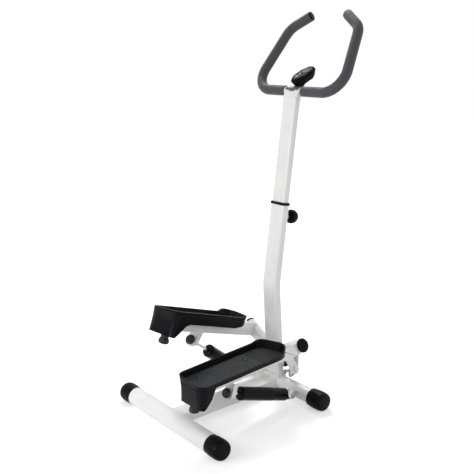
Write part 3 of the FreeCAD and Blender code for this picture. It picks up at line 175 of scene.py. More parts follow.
@dataclass(frozen=True)
class Surface:
    """A material's nodes while its finish is laid on.

    Attributes:
        tree: the material's tree.
        shader: its surface shader.
        place: the piece's own coordinates, in metres.
    """

    tree: bpy.types.NodeTree
    shader: bpy.types.Node
    place: bpy.types.NodeSocket

    def pattern(
        self,
        kind: Pattern,
        size: float,
        detail: float = 0.0,
        place: bpy.types.NodeSocket | None = None,
    ) -> bpy.types.NodeSocket:
        """Lay an uneven pattern over the piece.

        Args:
            kind: clouds or cells.
            size: how large a cloud or a cell is, in millimetres.
            detail: how many finer layers lie in it.
            place: the coordinates it reads, where they aren't the piece's own.

        Returns:
            The pattern.
        """
        maker, output = kind.value
        node = add_node(
            self.tree,
            maker,
            values={"Scale": 1.0 / (size * MM), "Detail": detail, "Roughness": 0.55},
            links={"Vector": self.place if place is None else place},
        )
        return node.outputs[output]

    def tint(self, pattern: bpy.types.NodeSocket, low: str, high: str) -> None:
        """Colour the surface between two sRGB colours by a pattern.

        Args:
            pattern: the pattern, from 0 to 1.
            low: the colour where the pattern is low.
            high: the colour where it is high.
        """
        ramp = add_node(self.tree, "ShaderNodeValToRGB", links={"Fac": pattern})
        set_ramp(ramp, [(0.25, low), (0.75, high)])
        self.tree.links.new(ramp.outputs["Color"], self.shader.inputs["Base Color"])

    def roughen(self, pattern: bpy.types.NodeSocket, least: float, spread: float) -> None:
        """Let a pattern raise the roughness.

        Args:
            pattern: the pattern, from 0 to 1.
            least: the roughness where the pattern is 0.
            spread: by how much it is raised where the pattern is 1.
        """
        span = add_node(
            self.tree,
            "ShaderNodeMapRange",
            values={"To Min": least, "To Max": least + spread},
            links={"Value": pattern},
        )
        self.tree.links.new(span.outputs["Result"], self.shader.inputs["Roughness"])

    def bump(self, *layers: Relief) -> None:
        """Stack bumps on the surface.

        Args:
            layers: the bumps, each on top of the one before.
        """
        below: dict[str | int, bpy.types.NodeSocket] = {}
        for layer in layers:
            node = add_node(
                self.tree,
                "ShaderNodeBump",
                values={"Strength": layer.strength, "Distance": layer.depth * MM},
                links={"Height": layer.height, **below},
            )
            below = {"Normal": node.outputs["Normal"]}
        self.tree.links.new(below["Normal"], self.shader.inputs["Normal"])

    def give(self, values: dict[str, float]) -> None:
        """Set some of the shader's inputs.

        Args:
            values: the value of each input, by its name.
        """
        for name, value in values.items():
            self.shader.inputs[name].default_value = value


@dataclass(frozen=True)
class Finish:
    """A surface finish; each kind says how its nodes are made.

    Attributes:
        name: the material's name.
        colour: its main sRGB colour.
        roughness: how rough it is at its smoothest places.
    """

    name: str
    colour: str
    roughness: float

    def material(self) -> bpy.types.Material:
        """Find the finish's material, or make it the first time.

        Returns:
            The material.
        """
        found = bpy.data.materials.get(self.name)
        if found is not None:
            return found
        made = bpy.data.materials.new(self.name)
        made.use_nodes = True
        made.diffuse_color = linear(self.colour)
        tree = made.node_tree
        shader = tree.nodes["Principled BSDF"]
        shader.inputs["Base Color"].default_value = linear(self.colour)
        where = add_node(tree, "ShaderNodeTexCoord")
        self.dress(Surface(tree, shader, where.outputs["Object"]))
        return made

    def dress(self, surface: Surface) -> None:
        """Lay the finish on a material's nodes.

        Args:
            surface: the nodes.
        """
        raise NotImplementedError


@dataclass(frozen=True)
class PowderCoat(Finish):
    """Powder paint baked on steel: glossy, with a faint orange peel and slight cloudiness.

    Attributes:
        shade: the darker of its two colours.
        cloud: how large its clouds of colour are, in millimetres.
        wear: how large its duller patches are.
        peel: how wide a bump of its orange peel is.
    """

    shade: str = "#E2E5E6"
    cloud: float = 70.0
    wear: float = 18.0
    peel: float = 1.6

    def dress(self, surface: Surface) -> None:
        """Give cloudy colour, uneven gloss and orange peel under a thin clear skin.

        Args:
            surface: the nodes it is laid on.
        """
        clouds = surface.pattern(Pattern.CLOUDS, self.cloud, detail=3.0)
        wear = surface.pattern(Pattern.CLOUDS, self.wear, detail=2.0)
        peel = surface.pattern(Pattern.CLOUDS, self.peel, detail=1.0)
        surface.tint(clouds, self.shade, self.colour)
        surface.roughen(wear, self.roughness, spread=0.10)
        surface.bump(Relief(peel, strength=0.10, depth=0.12))
        surface.give({"Coat Weight": 0.35, "Coat Roughness": 0.12})


@dataclass(frozen=True)
class MouldedPlastic(Finish):
    """Injection-moulded plastic with a spark-eroded grain and faint flow marks.

    Attributes:
        shade: the darker of its two colours.
        grain: how its mould was textured.
        gloss: how strongly it reflects; 0.5 is usual, and a dark matt resin has less.
        flow: how large its flow marks are, in millimetres.
        handling: how large its handling marks are.
        bump_width: how wide a bump of its grain is, drawn coarser than it is so that it shows.
        pit_width: how wide a pit of its grain is, drawn coarser too.
    """

    shade: str = "#101113"
    grain: Grain = Grain.FINE
    gloss: float = 0.5
    flow: float = 24.0
    handling: float = 9.0
    bump_width: float = 0.9
    pit_width: float = 1.1

    def dress(self, surface: Surface) -> None:
        """Give flow marks, handling marks in the gloss and the mould's grain.

        Args:
            surface: the nodes it is laid on.
        """
        flow = surface.pattern(Pattern.CLOUDS, self.flow, detail=4.0)
        handling = surface.pattern(Pattern.CLOUDS, self.handling, detail=3.0)
        bumps = surface.pattern(Pattern.CLOUDS, self.bump_width, detail=2.0)
        pits = surface.pattern(Pattern.CELLS, self.pit_width)
        grain = self.grain.value
        surface.tint(flow, self.shade, self.colour)
        surface.roughen(handling, self.roughness, spread=0.12)
        surface.bump(
            Relief(bumps, strength=0.2 + grain, depth=0.3 * grain + 0.02),
            Relief(pits, strength=grain, depth=0.3 * grain),
        )
        surface.give({"Specular IOR Level": self.gloss})


@dataclass(frozen=True)
class Rubber(Finish):
    """Moulded rubber: dull, with bloom on it and a soft uneven skin.

    Attributes:
        bloom: the colour of its dusty bloom.
        patch: how large a patch of bloom is, in millimetres.
        skin: how wide a bump of its skin is.
    """

    bloom: str = "#1B1B1C"
    patch: float = 12.0
    skin: float = 0.8

    def dress(self, surface: Surface) -> None:
        """Give patchy bloom and a soft skin.

        Args:
            surface: the nodes it is laid on.
        """
        patches = surface.pattern(Pattern.CLOUDS, self.patch, detail=5.0)
        skin = surface.pattern(Pattern.CLOUDS, self.skin, detail=2.0)
        surface.tint(patches, self.colour, self.bloom)
        surface.roughen(patches, self.roughness, spread=0.15)
        surface.bump(Relief(skin, strength=0.3, depth=0.12))
        surface.give({"Specular IOR Level": 0.35})


@dataclass(frozen=True)
class Foam(Finish):
    """Closed-cell foam sleeve: open pores at the skin and a dry, dusty sheen.

    Attributes:
        shade: the darker of its two colours.
        pore: how wide a pore is, in millimetres, drawn coarser than it is so that it shows.
        mottle: how large its darker patches are.
        swell: how wide the swellings of its skin are.
    """

    shade: str = "#2C2E32"
    pore: float = 1.1
    mottle: float = 7.0
    swell: float = 4.0

    def dress(self, surface: Surface) -> None:
        """Give pores, a mottled colour, an uneven skin and a dry sheen.

        Args:
            surface: the nodes it is laid on.
        """
        pores = surface.pattern(Pattern.CELLS, self.pore)
        mottle = surface.pattern(Pattern.CLOUDS, self.mottle, detail=4.0)
        swell = surface.pattern(Pattern.CLOUDS, self.swell, detail=3.0)
        surface.tint(mottle, self.shade, self.colour)
        surface.roughen(mottle, self.roughness, spread=0.08)
        surface.bump(
            Relief(pores, strength=0.55, depth=0.3),
            Relief(swell, strength=0.35, depth=0.35),
        )
        surface.give({"Sheen Weight": 0.2, "Sheen Roughness": 0.5})


@dataclass(frozen=True)
class PlatedSteel(Finish):
    """Zinc- or chrome-plated steel, turned or drawn, with fine scratches in its gloss.

    Attributes:
        stain: the colour of its duller clouds.
        scratch: how strong its scratches are, from 0 to 1.
        cloud: how large its clouds are, in millimetres.
        scratch_length: how long a scratch is, drawn coarser than it is so that it shows.
        scratch_ratio: how many times longer than wide it is.
    """

    stain: str = "#9DA1A4"
    scratch: float = 0.5
    cloud: float = 14.0
    scratch_length: float = 3.0
    scratch_ratio: float = 6.0

    def dress(self, surface: Surface) -> None:
        """Give a metal with cloudy plating and fine scratches.

        Args:
            surface: the nodes it is laid on.
        """
        narrow = add_node(
            surface.tree,
            "ShaderNodeMapping",
            values={"Scale": (1.0, self.scratch_ratio, self.scratch_ratio)},
            links={"Vector": surface.place},
        ).outputs["Vector"]
        clouds = surface.pattern(Pattern.CLOUDS, self.cloud, detail=3.0)
        scratches = surface.pattern(Pattern.CLOUDS, self.scratch_length, detail=5.0, place=narrow)
        surface.tint(clouds, self.stain, self.colour)
        surface.roughen(scratches, self.roughness, spread=0.16)
        surface.bump(Relief(scratches, strength=self.scratch * 0.25, depth=0.05))
        surface.give({"Metallic": 1.0})


@dataclass(frozen=True)
class LiquidCrystal(Finish):
    """Reflective liquid-crystal panel behind a matt window, with its segments switched off.

    Attributes:
        segment: the colour of its darker patches.
        mottle: how large they are, in millimetres.
    """

    segment: str = "#505558"
    mottle: float = 3.0

    def dress(self, surface: Surface) -> None:
        """Give the panel's faint mottling and the window's wiping marks.

        Args:
            surface: the nodes it is laid on.
        """
        mottle = surface.pattern(Pattern.CLOUDS, self.mottle, detail=2.0)
        surface.tint(mottle, self.segment, self.colour)
        surface.roughen(mottle, self.roughness, spread=0.08)
        surface.bump(Relief(mottle, strength=0.05, depth=0.02))
        surface.give({"Specular IOR Level": 0.1})


@dataclass(frozen=True)
class Palette:
    """Every finish the machine has."""

    # Gloss white polyester powder on the steel frame: bright, with soft reflections.
    frame_paint: Finish = PowderCoat("white_powder_coat", "#F0F0EF", 0.24, shade="#E8E8E8")
    # A thinner grey powder on the rocker: satin, a little cloudy.
    rocker_paint: Finish = PowderCoat("grey_powder_coat", "#A9ABAD", 0.32, shade="#9C9FA1")
    # Moulded polyethylene end caps: black with a soft sheen.
    cap_plastic: Finish = MouldedPlastic(
        "black_cap_polyethylene", "#08080A", 0.28, shade="#050506", gloss=0.07
    )
    # Moulded polypropylene footplates: near-black with a blue tint all through the colour, a painted
    # reflection that stands for the bluish sheen on their flat sides.
    plate_plastic: Finish = MouldedPlastic(
        "black_footplate_polypropylene", "#0D0D15", 0.30, shade="#08080D", gloss=0.08
    )
    # The tread has a spark-eroded grain and looks greyer, with dust in its texture.
    tread_plastic: Finish = MouldedPlastic(
        "black_tread_polypropylene", "#131416", 0.60, shade="#0D0E0F", grain=Grain.COARSE, gloss=0.18
    )
    # The tops of its ribs are painted lighter: a painted highlight where the ridges catch the light.
    rib_highlight_plastic: Finish = MouldedPlastic(
        "rib_painted_highlight_polypropylene", "#4B4D52", 0.50, shade="#3A3B40", grain=Grain.COARSE, gloss=0.2
    )
    # Phenolic knobs: smooth and black.
    knob_plastic: Finish = MouldedPlastic(
        "black_knob_phenolic", "#08080A", 0.28, shade="#050506", grain=Grain.SMOOTH, gloss=0.08
    )
    # Styrene console housing: black with a satin face.
    console_plastic: Finish = MouldedPlastic(
        "black_console_styrene", "#131216", 0.55, shade="#0D0C10", grain=Grain.SMOOTH, gloss=0.05
    )
    # The clamp plate under the console, also styrene: dark grey and glossier.
    clamp_plastic: Finish = MouldedPlastic(
        "grey_clamp_styrene", "#4E4B48", 0.3, shade="#42403D", grain=Grain.SMOOTH, gloss=0.6
    )
    # Undyed nylon bushes: off-white, with a waxy gloss.
    bush_nylon: Finish = MouldedPlastic("natural_nylon", "#E5E3DA", 0.40, shade="#D6D3C8")
    # The large silicone button: a soft rose, half matt.
    main_button: Finish = MouldedPlastic(
        "rose_button_silicone", "#A83C52", 0.45, shade="#963248", grain=Grain.SMOOTH, gloss=0.25
    )
    # The small silicone button: pale grey, half matt.
    small_button: Finish = MouldedPlastic(
        "pale_button_silicone", "#C9CBCE", 0.45, shade="#B7BABE", grain=Grain.SMOOTH
    )
    # Natural rubber bumpers and rod stops: dull black with a greyish bloom.
    bumper_rubber: Finish = Rubber("black_bumper_rubber", "#0B0B0B", 0.5, bloom="#151516")
    # Nitrile foam grips: dry charcoal with open pores.
    grip_foam: Finish = Foam("charcoal_nitrile_foam", "#3D3C43", 0.66, shade="#302F35")
    # Black-passivated steel screws in the footplates: dark metal with dull glints.
    black_zinc: Finish = PlatedSteel(
        "black_zinc_steel", "#3A3B3E", 0.35, stain="#2C2D30", scratch=1.0
    )
    # Chromed damper rods: bright as a mirror, with few scratches.
    chrome: Finish = PlatedSteel("chromed_steel", "#D9DBDD", 0.12, stain="#C4C7CA")
    # Bright zinc on bolts and pins: duller than chrome and scratched by tools.
    zinc: Finish = PlatedSteel("bright_zinc_steel", "#C9CCCE", 0.28, stain="#AEB2B5", scratch=1.0)
    # Enamel on the damper barrels: smooth gloss black.
    damper_enamel: Finish = MouldedPlastic(
        "black_damper_enamel", "#070709", 0.2, shade="#040405", grain=Grain.SMOOTH, gloss=0.09
    )
    # The counter's display: flat grey, faintly mottled behind its window.
    panel: Finish = LiquidCrystal("grey_liquid_crystal", "#5A5F63", 0.5)


PAINT = Palette()


def add_mesh(name: str, mesh: bmesh.types.BMesh, finish: Finish, body: str) -> bpy.types.Object:
    """Turn a bmesh into a shown piece that rides on a body.

    Args:
        name: the piece's name.
        mesh: its geometry in the machine's frame, in metres; it is freed.
        finish: its surface finish.
        body: the moving body it belongs to.

    Returns:
        The new object, at the origin.
    """
    data = bpy.data.meshes.new(name)
    mesh.to_mesh(data)
    mesh.free()
    data.shade_smooth()
    data.set_sharp_from_angle(angle=math.radians(SHARP_ANGLE))
    data.materials.append(finish.material())
    piece = bpy.data.objects.new(name, data)
    bpy.context.scene.collection.objects.link(piece)
    weigh = piece.modifiers.new("even_normals", "WEIGHTED_NORMAL")
    weigh.keep_sharp = True
    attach(piece, body)
    return piece


@dataclass(frozen=True)
class NodeLook:
    """How one CAD node is shown.

    Attributes:
        node: the node's name.
        finish: its surface finish.
        edge: how wide its rounded edges are, in millimetres.
        segments: how many faces each rounded edge has.
        joined: whether its flat faces are joined; a flat ring keeps its triangles.
    """

    node: str
    finish: Finish
    edge: float
    segments: int = 2
    joined: bool = True


def welded(node: str, joined: bool = True) -> bmesh.types.BMesh:
    """Copy a CAD node's mesh with its doubles merged.

    Args:
        node: the node's name.
        joined: whether flat faces are joined too.

    Returns:
        The new geometry, in metres.
    """
    mesh = bmesh.new()
    mesh.from_mesh(frame["nodes"][node].data)
    bmesh.ops.remove_doubles(mesh, verts=mesh.verts, dist=MERGE_DISTANCE * MM)
    if joined:
        bmesh.ops.dissolve_limit(
            mesh,
            angle_limit=math.radians(FLAT_ANGLE),
            verts=mesh.verts,
            edges=mesh.edges,
            delimit={"NORMAL"},
        )
    return mesh


def round_edges(mesh: bmesh.types.BMesh, edge: float, segments: int = 2) -> None:
    """Round a mesh's sharp edges.

    Args:
        mesh: the geometry, in metres.
        edge: how wide its rounded edges are, in millimetres.
        segments: how many faces each rounded edge has.
    """
    limit = math.radians(ROUNDED_ANGLE)
    sharp = [item for item in mesh.edges if item.is_manifold and item.calc_face_angle(0.0) > limit]
    bmesh.ops.bevel(
        mesh,
        geom=sharp,
        offset=edge * MM,
        offset_type="OFFSET",
        segments=segments,
        profile=0.5,
        affect="EDGES",
        clamp_overlap=True,
        material=-1,
    )


def round_stub(
    diameter: float, height: float, segments: int, taper: float = 1.0
) -> bmesh.types.BMesh:
    """Make an upright round stub about the origin.

    Args:
        diameter: how wide its foot is, in millimetres.
        height: how tall it is.
        segments: how many flats go round it.
        taper: how wide its top is against its foot.

    Returns:
        The new geometry, in metres.
    """
    mesh = bmesh.new()
    bmesh.ops.create_cone(
        mesh,
        cap_ends=True,
        segments=segments,
        radius1=diameter / 2 * MM,
        radius2=diameter / 2 * taper * MM,
        depth=height * MM,
    )
    return mesh


def softened(look: NodeLook, mesh: bmesh.types.BMesh | None = None) -> bpy.types.Object:
    """Show a CAD node with its sharp edges rounded.

    Args:
        look: the node with its finish and edges.
        mesh: the node's geometry where it was worked on before; it is freed.

    Returns:
        The piece that stands for the node.
    """
    if mesh is None:
        mesh = welded(look.node, look.joined)
    round_edges(mesh, look.edge, look.segments)
    piece = add_mesh(look.node + "_shell", mesh, look.finish, BODY_OF[look.node])
    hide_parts(look.node)
    return piece


def eased(value: float, low: float, high: float) -> float:
    """Ease a value evenly between two limits.

    Args:
        value: the value.
        low: where the result is 0.
        high: where it is 1.

    Returns:
        The result, from 0 to 1.
    """
    share = min(max((value - low) / (high - low), 0.0), 1.0)
    return share * share * (3 - 2 * share)


@dataclass
class SubAssembly:
    """A group of pieces that is built and dressed together.

    Attributes:
        title: what the log calls it.
        pieces: what it has made.
    """

    title: str = "sub-assembly"
    pieces: list[bpy.types.Object] = field(default_factory=list)

    def parts(self) -> list[NodeLook]:
        """List the CAD nodes that the group shows as they are, with rounded edges."""
        return []

    def build(self) -> None:
        """Make the group's own pieces."""

    def dress(self) -> None:
        """Round and paint the CAD nodes that the group shows."""
        for look in self.parts():
            self.pieces.append(softened(look))

    def report(self) -> None:
        """Log each piece with its face count."""
        for piece in self.pieces:
            LOG.info("%s: %s, %d faces", self.title, piece.name, len(piece.data.polygons))


@dataclass
class FloorFrame(SubAssembly):
    """The two cross tubes, the spine between them, their end caps and the damper mounts.

    Attributes:
        tube_edge: rounding of sawn tube ends, in millimetres.
        plate_edge: rounding of pressed steel plates and caps.
        fastener_edge: rounding of bolts and pins.
    """

    title: str = "floor frame"
    tube_edge: float = 0.8
    plate_edge: float = 0.7
    fastener_edge: float = 0.35

    def parts(self) -> list[NodeLook]:
        """List the frame's nodes with their finishes and edges."""
        painted = ["rear_cross_tube", "front_cross_tube", "spine_beam"]
        plates = ["post_saddle", "hub_axles", "damper_mounts", "rocker_bracket"]
        caps = [f"{end}_{side.value}_cap" for end in ("rear", "front") for side in Side]
        fasteners = ["axle_bolts", "damper_pins", "rocker_bolt"]
        return (
            [NodeLook(node, PAINT.frame_paint, self.tube_edge) for node in painted]
            + [NodeLook(node, PAINT.frame_paint, self.plate_edge) for node in plates]
            + [NodeLook(node, PAINT.cap_plastic, self.plate_edge) for node in caps]
            + [NodeLook(node, PAINT.zinc, self.fastener_edge) for node in fasteners]
        )


@dataclass
class Mast(SubAssembly):
    """The lower post, the sliding upper post, its collar and the two clamp knobs.

    Attributes:
        post_edge: rounding of the post's tubes and its collar, in millimetres.
        knob_edge: rounding of the knobs.
        screw_edge: rounding of the screws and their bosses.
        knob_stand: how far the clamp knob stands off its boss.
        knob_stretch: how much deeper it is along its axis than the node.
        neck_diameter: how wide the neck between boss and knob is.
        neck_overlap: how much longer the neck is than the gap it fills.
        neck_segments: how many flats go round the neck.
    """

    title: str = "mast"
    post_edge: float = 0.8
    knob_edge: float = 1.0
    screw_edge: float = 0.3
    knob_stand: float = 5.0
    knob_stretch: float = 1.22
    neck_diameter: float = 17.0
    neck_overlap: float = 3.0
    neck_segments: int = 40

    def parts(self) -> list[NodeLook]:
        """List the mast's nodes with their finishes and edges."""
        return [
            NodeLook("lower_post", PAINT.frame_paint, self.post_edge),
            NodeLook("upper_post", PAINT.frame_paint, self.post_edge),
            NodeLook("knob_bosses", PAINT.frame_paint, self.screw_edge),
            NodeLook("collar_bush", PAINT.cap_plastic, self.post_edge),
            NodeLook("foot_knob", PAINT.knob_plastic, self.knob_edge, SMOOTH_ROUND),
            NodeLook("clamp_screw", PAINT.zinc, self.screw_edge),
            NodeLook("foot_screw", PAINT.zinc, self.screw_edge),
        ]

    def build(self) -> None:
        """Make the clamp knob, deeper and off the post, and the neck behind it."""
        centre = Vector(JOINTS["clamp_turn"]["pos_m"])
        axis = Vector(JOINTS["clamp_turn"]["axis"]).normalized()
        knob = welded("clamp_knob")
        base = min((vert.co - centre).dot(axis) for vert in knob.verts)
        for vert in knob.verts:
            depth = (vert.co - centre).dot(axis) - base
            vert.co += axis * (self.knob_stand * MM + depth * (self.knob_stretch - 1))
        look = NodeLook("clamp_knob", PAINT.knob_plastic, self.knob_edge, SMOOTH_ROUND)
        self.pieces.append(softened(look, knob))
        self.pieces.append(self.clamp_neck(centre + axis * (base + self.knob_stand / 2 * MM), axis))

    def clamp_neck(self, middle: Vector, axis: Vector) -> bpy.types.Object:
        """Make the short neck between the clamp's boss and its knob.

        Args:
            middle: the neck's centre, in metres.
            axis: the knob's unit axis.

        Returns:
            The neck.
        """
        length = self.knob_stand + self.neck_overlap
        mesh = round_stub(self.neck_diameter, length, self.neck_segments)
        turn = axis.to_track_quat("Z", "Y").to_matrix().to_4x4()
        bmesh.ops.transform(mesh, matrix=Matrix.Translation(middle) @ turn, verts=mesh.verts)
        neck = add_mesh("clamp_neck", mesh, PAINT.frame_paint, BODY_OF["knob_bosses"])
        return neck


@dataclass
class Handlebar(SubAssembly):
    """The bent tube, its saddle, the foam grips and the tip plugs.

    Attributes:
        tube_edge: rounding of the tube's ends and the saddle, in millimetres.
        plug_edge: rounding of the tip plugs.
        grip_edge: rounding of the grips' cut ends.
        foam_fill: how full the foam of a grip is; not used.
        foam_swell: how wide the unevenness of the foam is.
        foam_depth: how deep it is.
        foam_inward: how much of it lies inwards, from 0 to 1.
        skin_levels: how often the grip's faces are halved to carry it.
    """

    title: str = "handlebar"
    tube_edge: float = 0.5
    plug_edge: float = 1.2
    grip_edge: float = 1.6
    foam_fill: float = 1.0
    foam_swell: float = 12.0
    foam_depth: float = 0.35
    foam_inward: float = 0.9
    skin_levels: int = 2

    def parts(self) -> list[NodeLook]:
        """List the handlebar's rigid nodes with their finishes and edges."""
        return [
            NodeLook("handlebar_tube", PAINT.frame_paint, self.tube_edge),
            NodeLook("handlebar_saddle", PAINT.frame_paint, self.tube_edge),
            NodeLook("right_tip_plug", PAINT.cap_plastic, self.plug_edge, SMOOTH_ROUND),
            NodeLook("left_tip_plug", PAINT.cap_plastic, self.plug_edge, SMOOTH_ROUND),
        ]

    def build(self) -> None:
        """Make both foam grips."""
        for side in Side:
            self.pieces.append(self.foam_grip(side))

    def foam_grip(self, side: Side) -> bpy.types.Object:
        """Make one grip: the CAD sleeve with finer skin, uneven as cut foam is.

        Args:
            side: which grip.

        Returns:
            The grip.
        """
        grip = softened(
            NodeLook(f"{side.value}_grip", PAINT.grip_foam, self.grip_edge, SMOOTH_ROUND)
        )
        fine = grip.modifiers.new("foam_skin", "SUBSURF")
        fine.subdivision_type = "SIMPLE"
        fine.levels = self.skin_levels
        fine.render_levels = self.skin_levels
        clouds = bpy.data.textures.new(f"{side.value}_foam_unevenness", "CLOUDS")
        clouds.noise_scale = self.foam_swell * MM
        press = grip.modifiers.new("foam_unevenness", "DISPLACE")
        press.texture = clouds
        press.texture_coords = "LOCAL"
        press.strength = self.foam_depth * MM
        press.mid_level = self.foam_inward
        return grip


@dataclass
class Console(SubAssembly):
    """The counter's housing, its display, two buttons and the plate that clamps it to the bar.

    Attributes:
        shell_edge: rounding of the housing and its foot, in millimetres.
        window_edge: rounding of the display's window.
        button_edge: rounding of the buttons.
        clamp_edge: rounding of the clamp plate.
        clamp_width: how wide the clamp plate is.
        clamp_bore: its inner radius, over the bar.
        clamp_wall: how thick it is.
        clamp_wrap: how much of the bar's round it covers, in degrees.
        clamp_steps: how many flats its curve has.
        foot_radius: the radius of the foot's half ring, which finds the bar's axis.
        foot_cut: how far above that axis the half ring starts.
    """

    title: str = "console"
    shell_edge: float = 1.0
    window_edge: float = 0.3
    button_edge: float = 0.8
    clamp_edge: float = 0.5
    clamp_width: float = 52.0
    clamp_bore: float = 12.3
    clamp_wall: float = 2.4
    clamp_wrap: float = 140.0
    clamp_steps: int = 24
    foot_radius: float = 16.0
    foot_cut: float = 2.0

    def parts(self) -> list[NodeLook]:
        """List the console's nodes with their finishes and edges."""
        return [
            NodeLook("console_foot", PAINT.console_plastic, self.shell_edge),
            NodeLook("console_back", PAINT.console_plastic, self.shell_edge, joined=False),
            NodeLook("console_face", PAINT.console_plastic, self.shell_edge),
            NodeLook("console_window", PAINT.panel, self.window_edge),
            NodeLook("main_button", PAINT.main_button, self.button_edge, SMOOTH_ROUND),
            NodeLook("small_button", PAINT.small_button, self.button_edge, SMOOTH_ROUND),
        ]

    def build(self) -> None:
        """Make the clamp plate."""
        self.pieces.append(self.clamp_plate())

    def clamp_plate(self) -> bpy.types.Object:
        """Make the curved plate between the bar and the console's foot.

        Returns:
            The plate.
        """
        low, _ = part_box("console_foot")
        reach = math.sqrt(self.foot_radius**2 - self.foot_cut**2)
        bar = Vector((0.0, low[1] + reach * MM, low[2] - self.foot_cut * MM))
        start = math.radians((180.0 - self.clamp_wrap) / 2)
        # A flat square of one metre, scaled to the plate's section and spun about the bar.
        mesh = bmesh.new()
        bmesh.ops.create_grid(mesh, x_segments=1, y_segments=1, size=0.5)
        section = Vector((self.clamp_width * MM, self.clamp_wall * MM, 1.0))
        bmesh.ops.scale(mesh, vec=section, verts=mesh.verts)
        wall = Vector((0.0, -(self.clamp_bore + self.clamp_wall / 2) * MM, 0.0))
        bmesh.ops.translate(mesh, vec=wall, verts=mesh.verts)
        bmesh.ops.rotate(
            mesh, cent=Vector(), matrix=Matrix.Rotation(-start, 3, "X"), verts=mesh.verts
        )
        bmesh.ops.spin(
            mesh,
            geom=[*mesh.verts, *mesh.edges, *mesh.faces],
            cent=Vector(),
            axis=Vector((-1.0, 0.0, 0.0)),
            angle=math.radians(self.clamp_wrap),
            steps=self.clamp_steps,
        )
        bmesh.ops.recalc_face_normals(mesh, faces=mesh.faces)
        round_edges(mesh, self.clamp_edge)
        bmesh.ops.translate(mesh, vec=bar, verts=mesh.verts)
        plate = add_mesh("console_clamp_plate", mesh, PAINT.clamp_plastic, BODY_OF["console_foot"])
        return plate


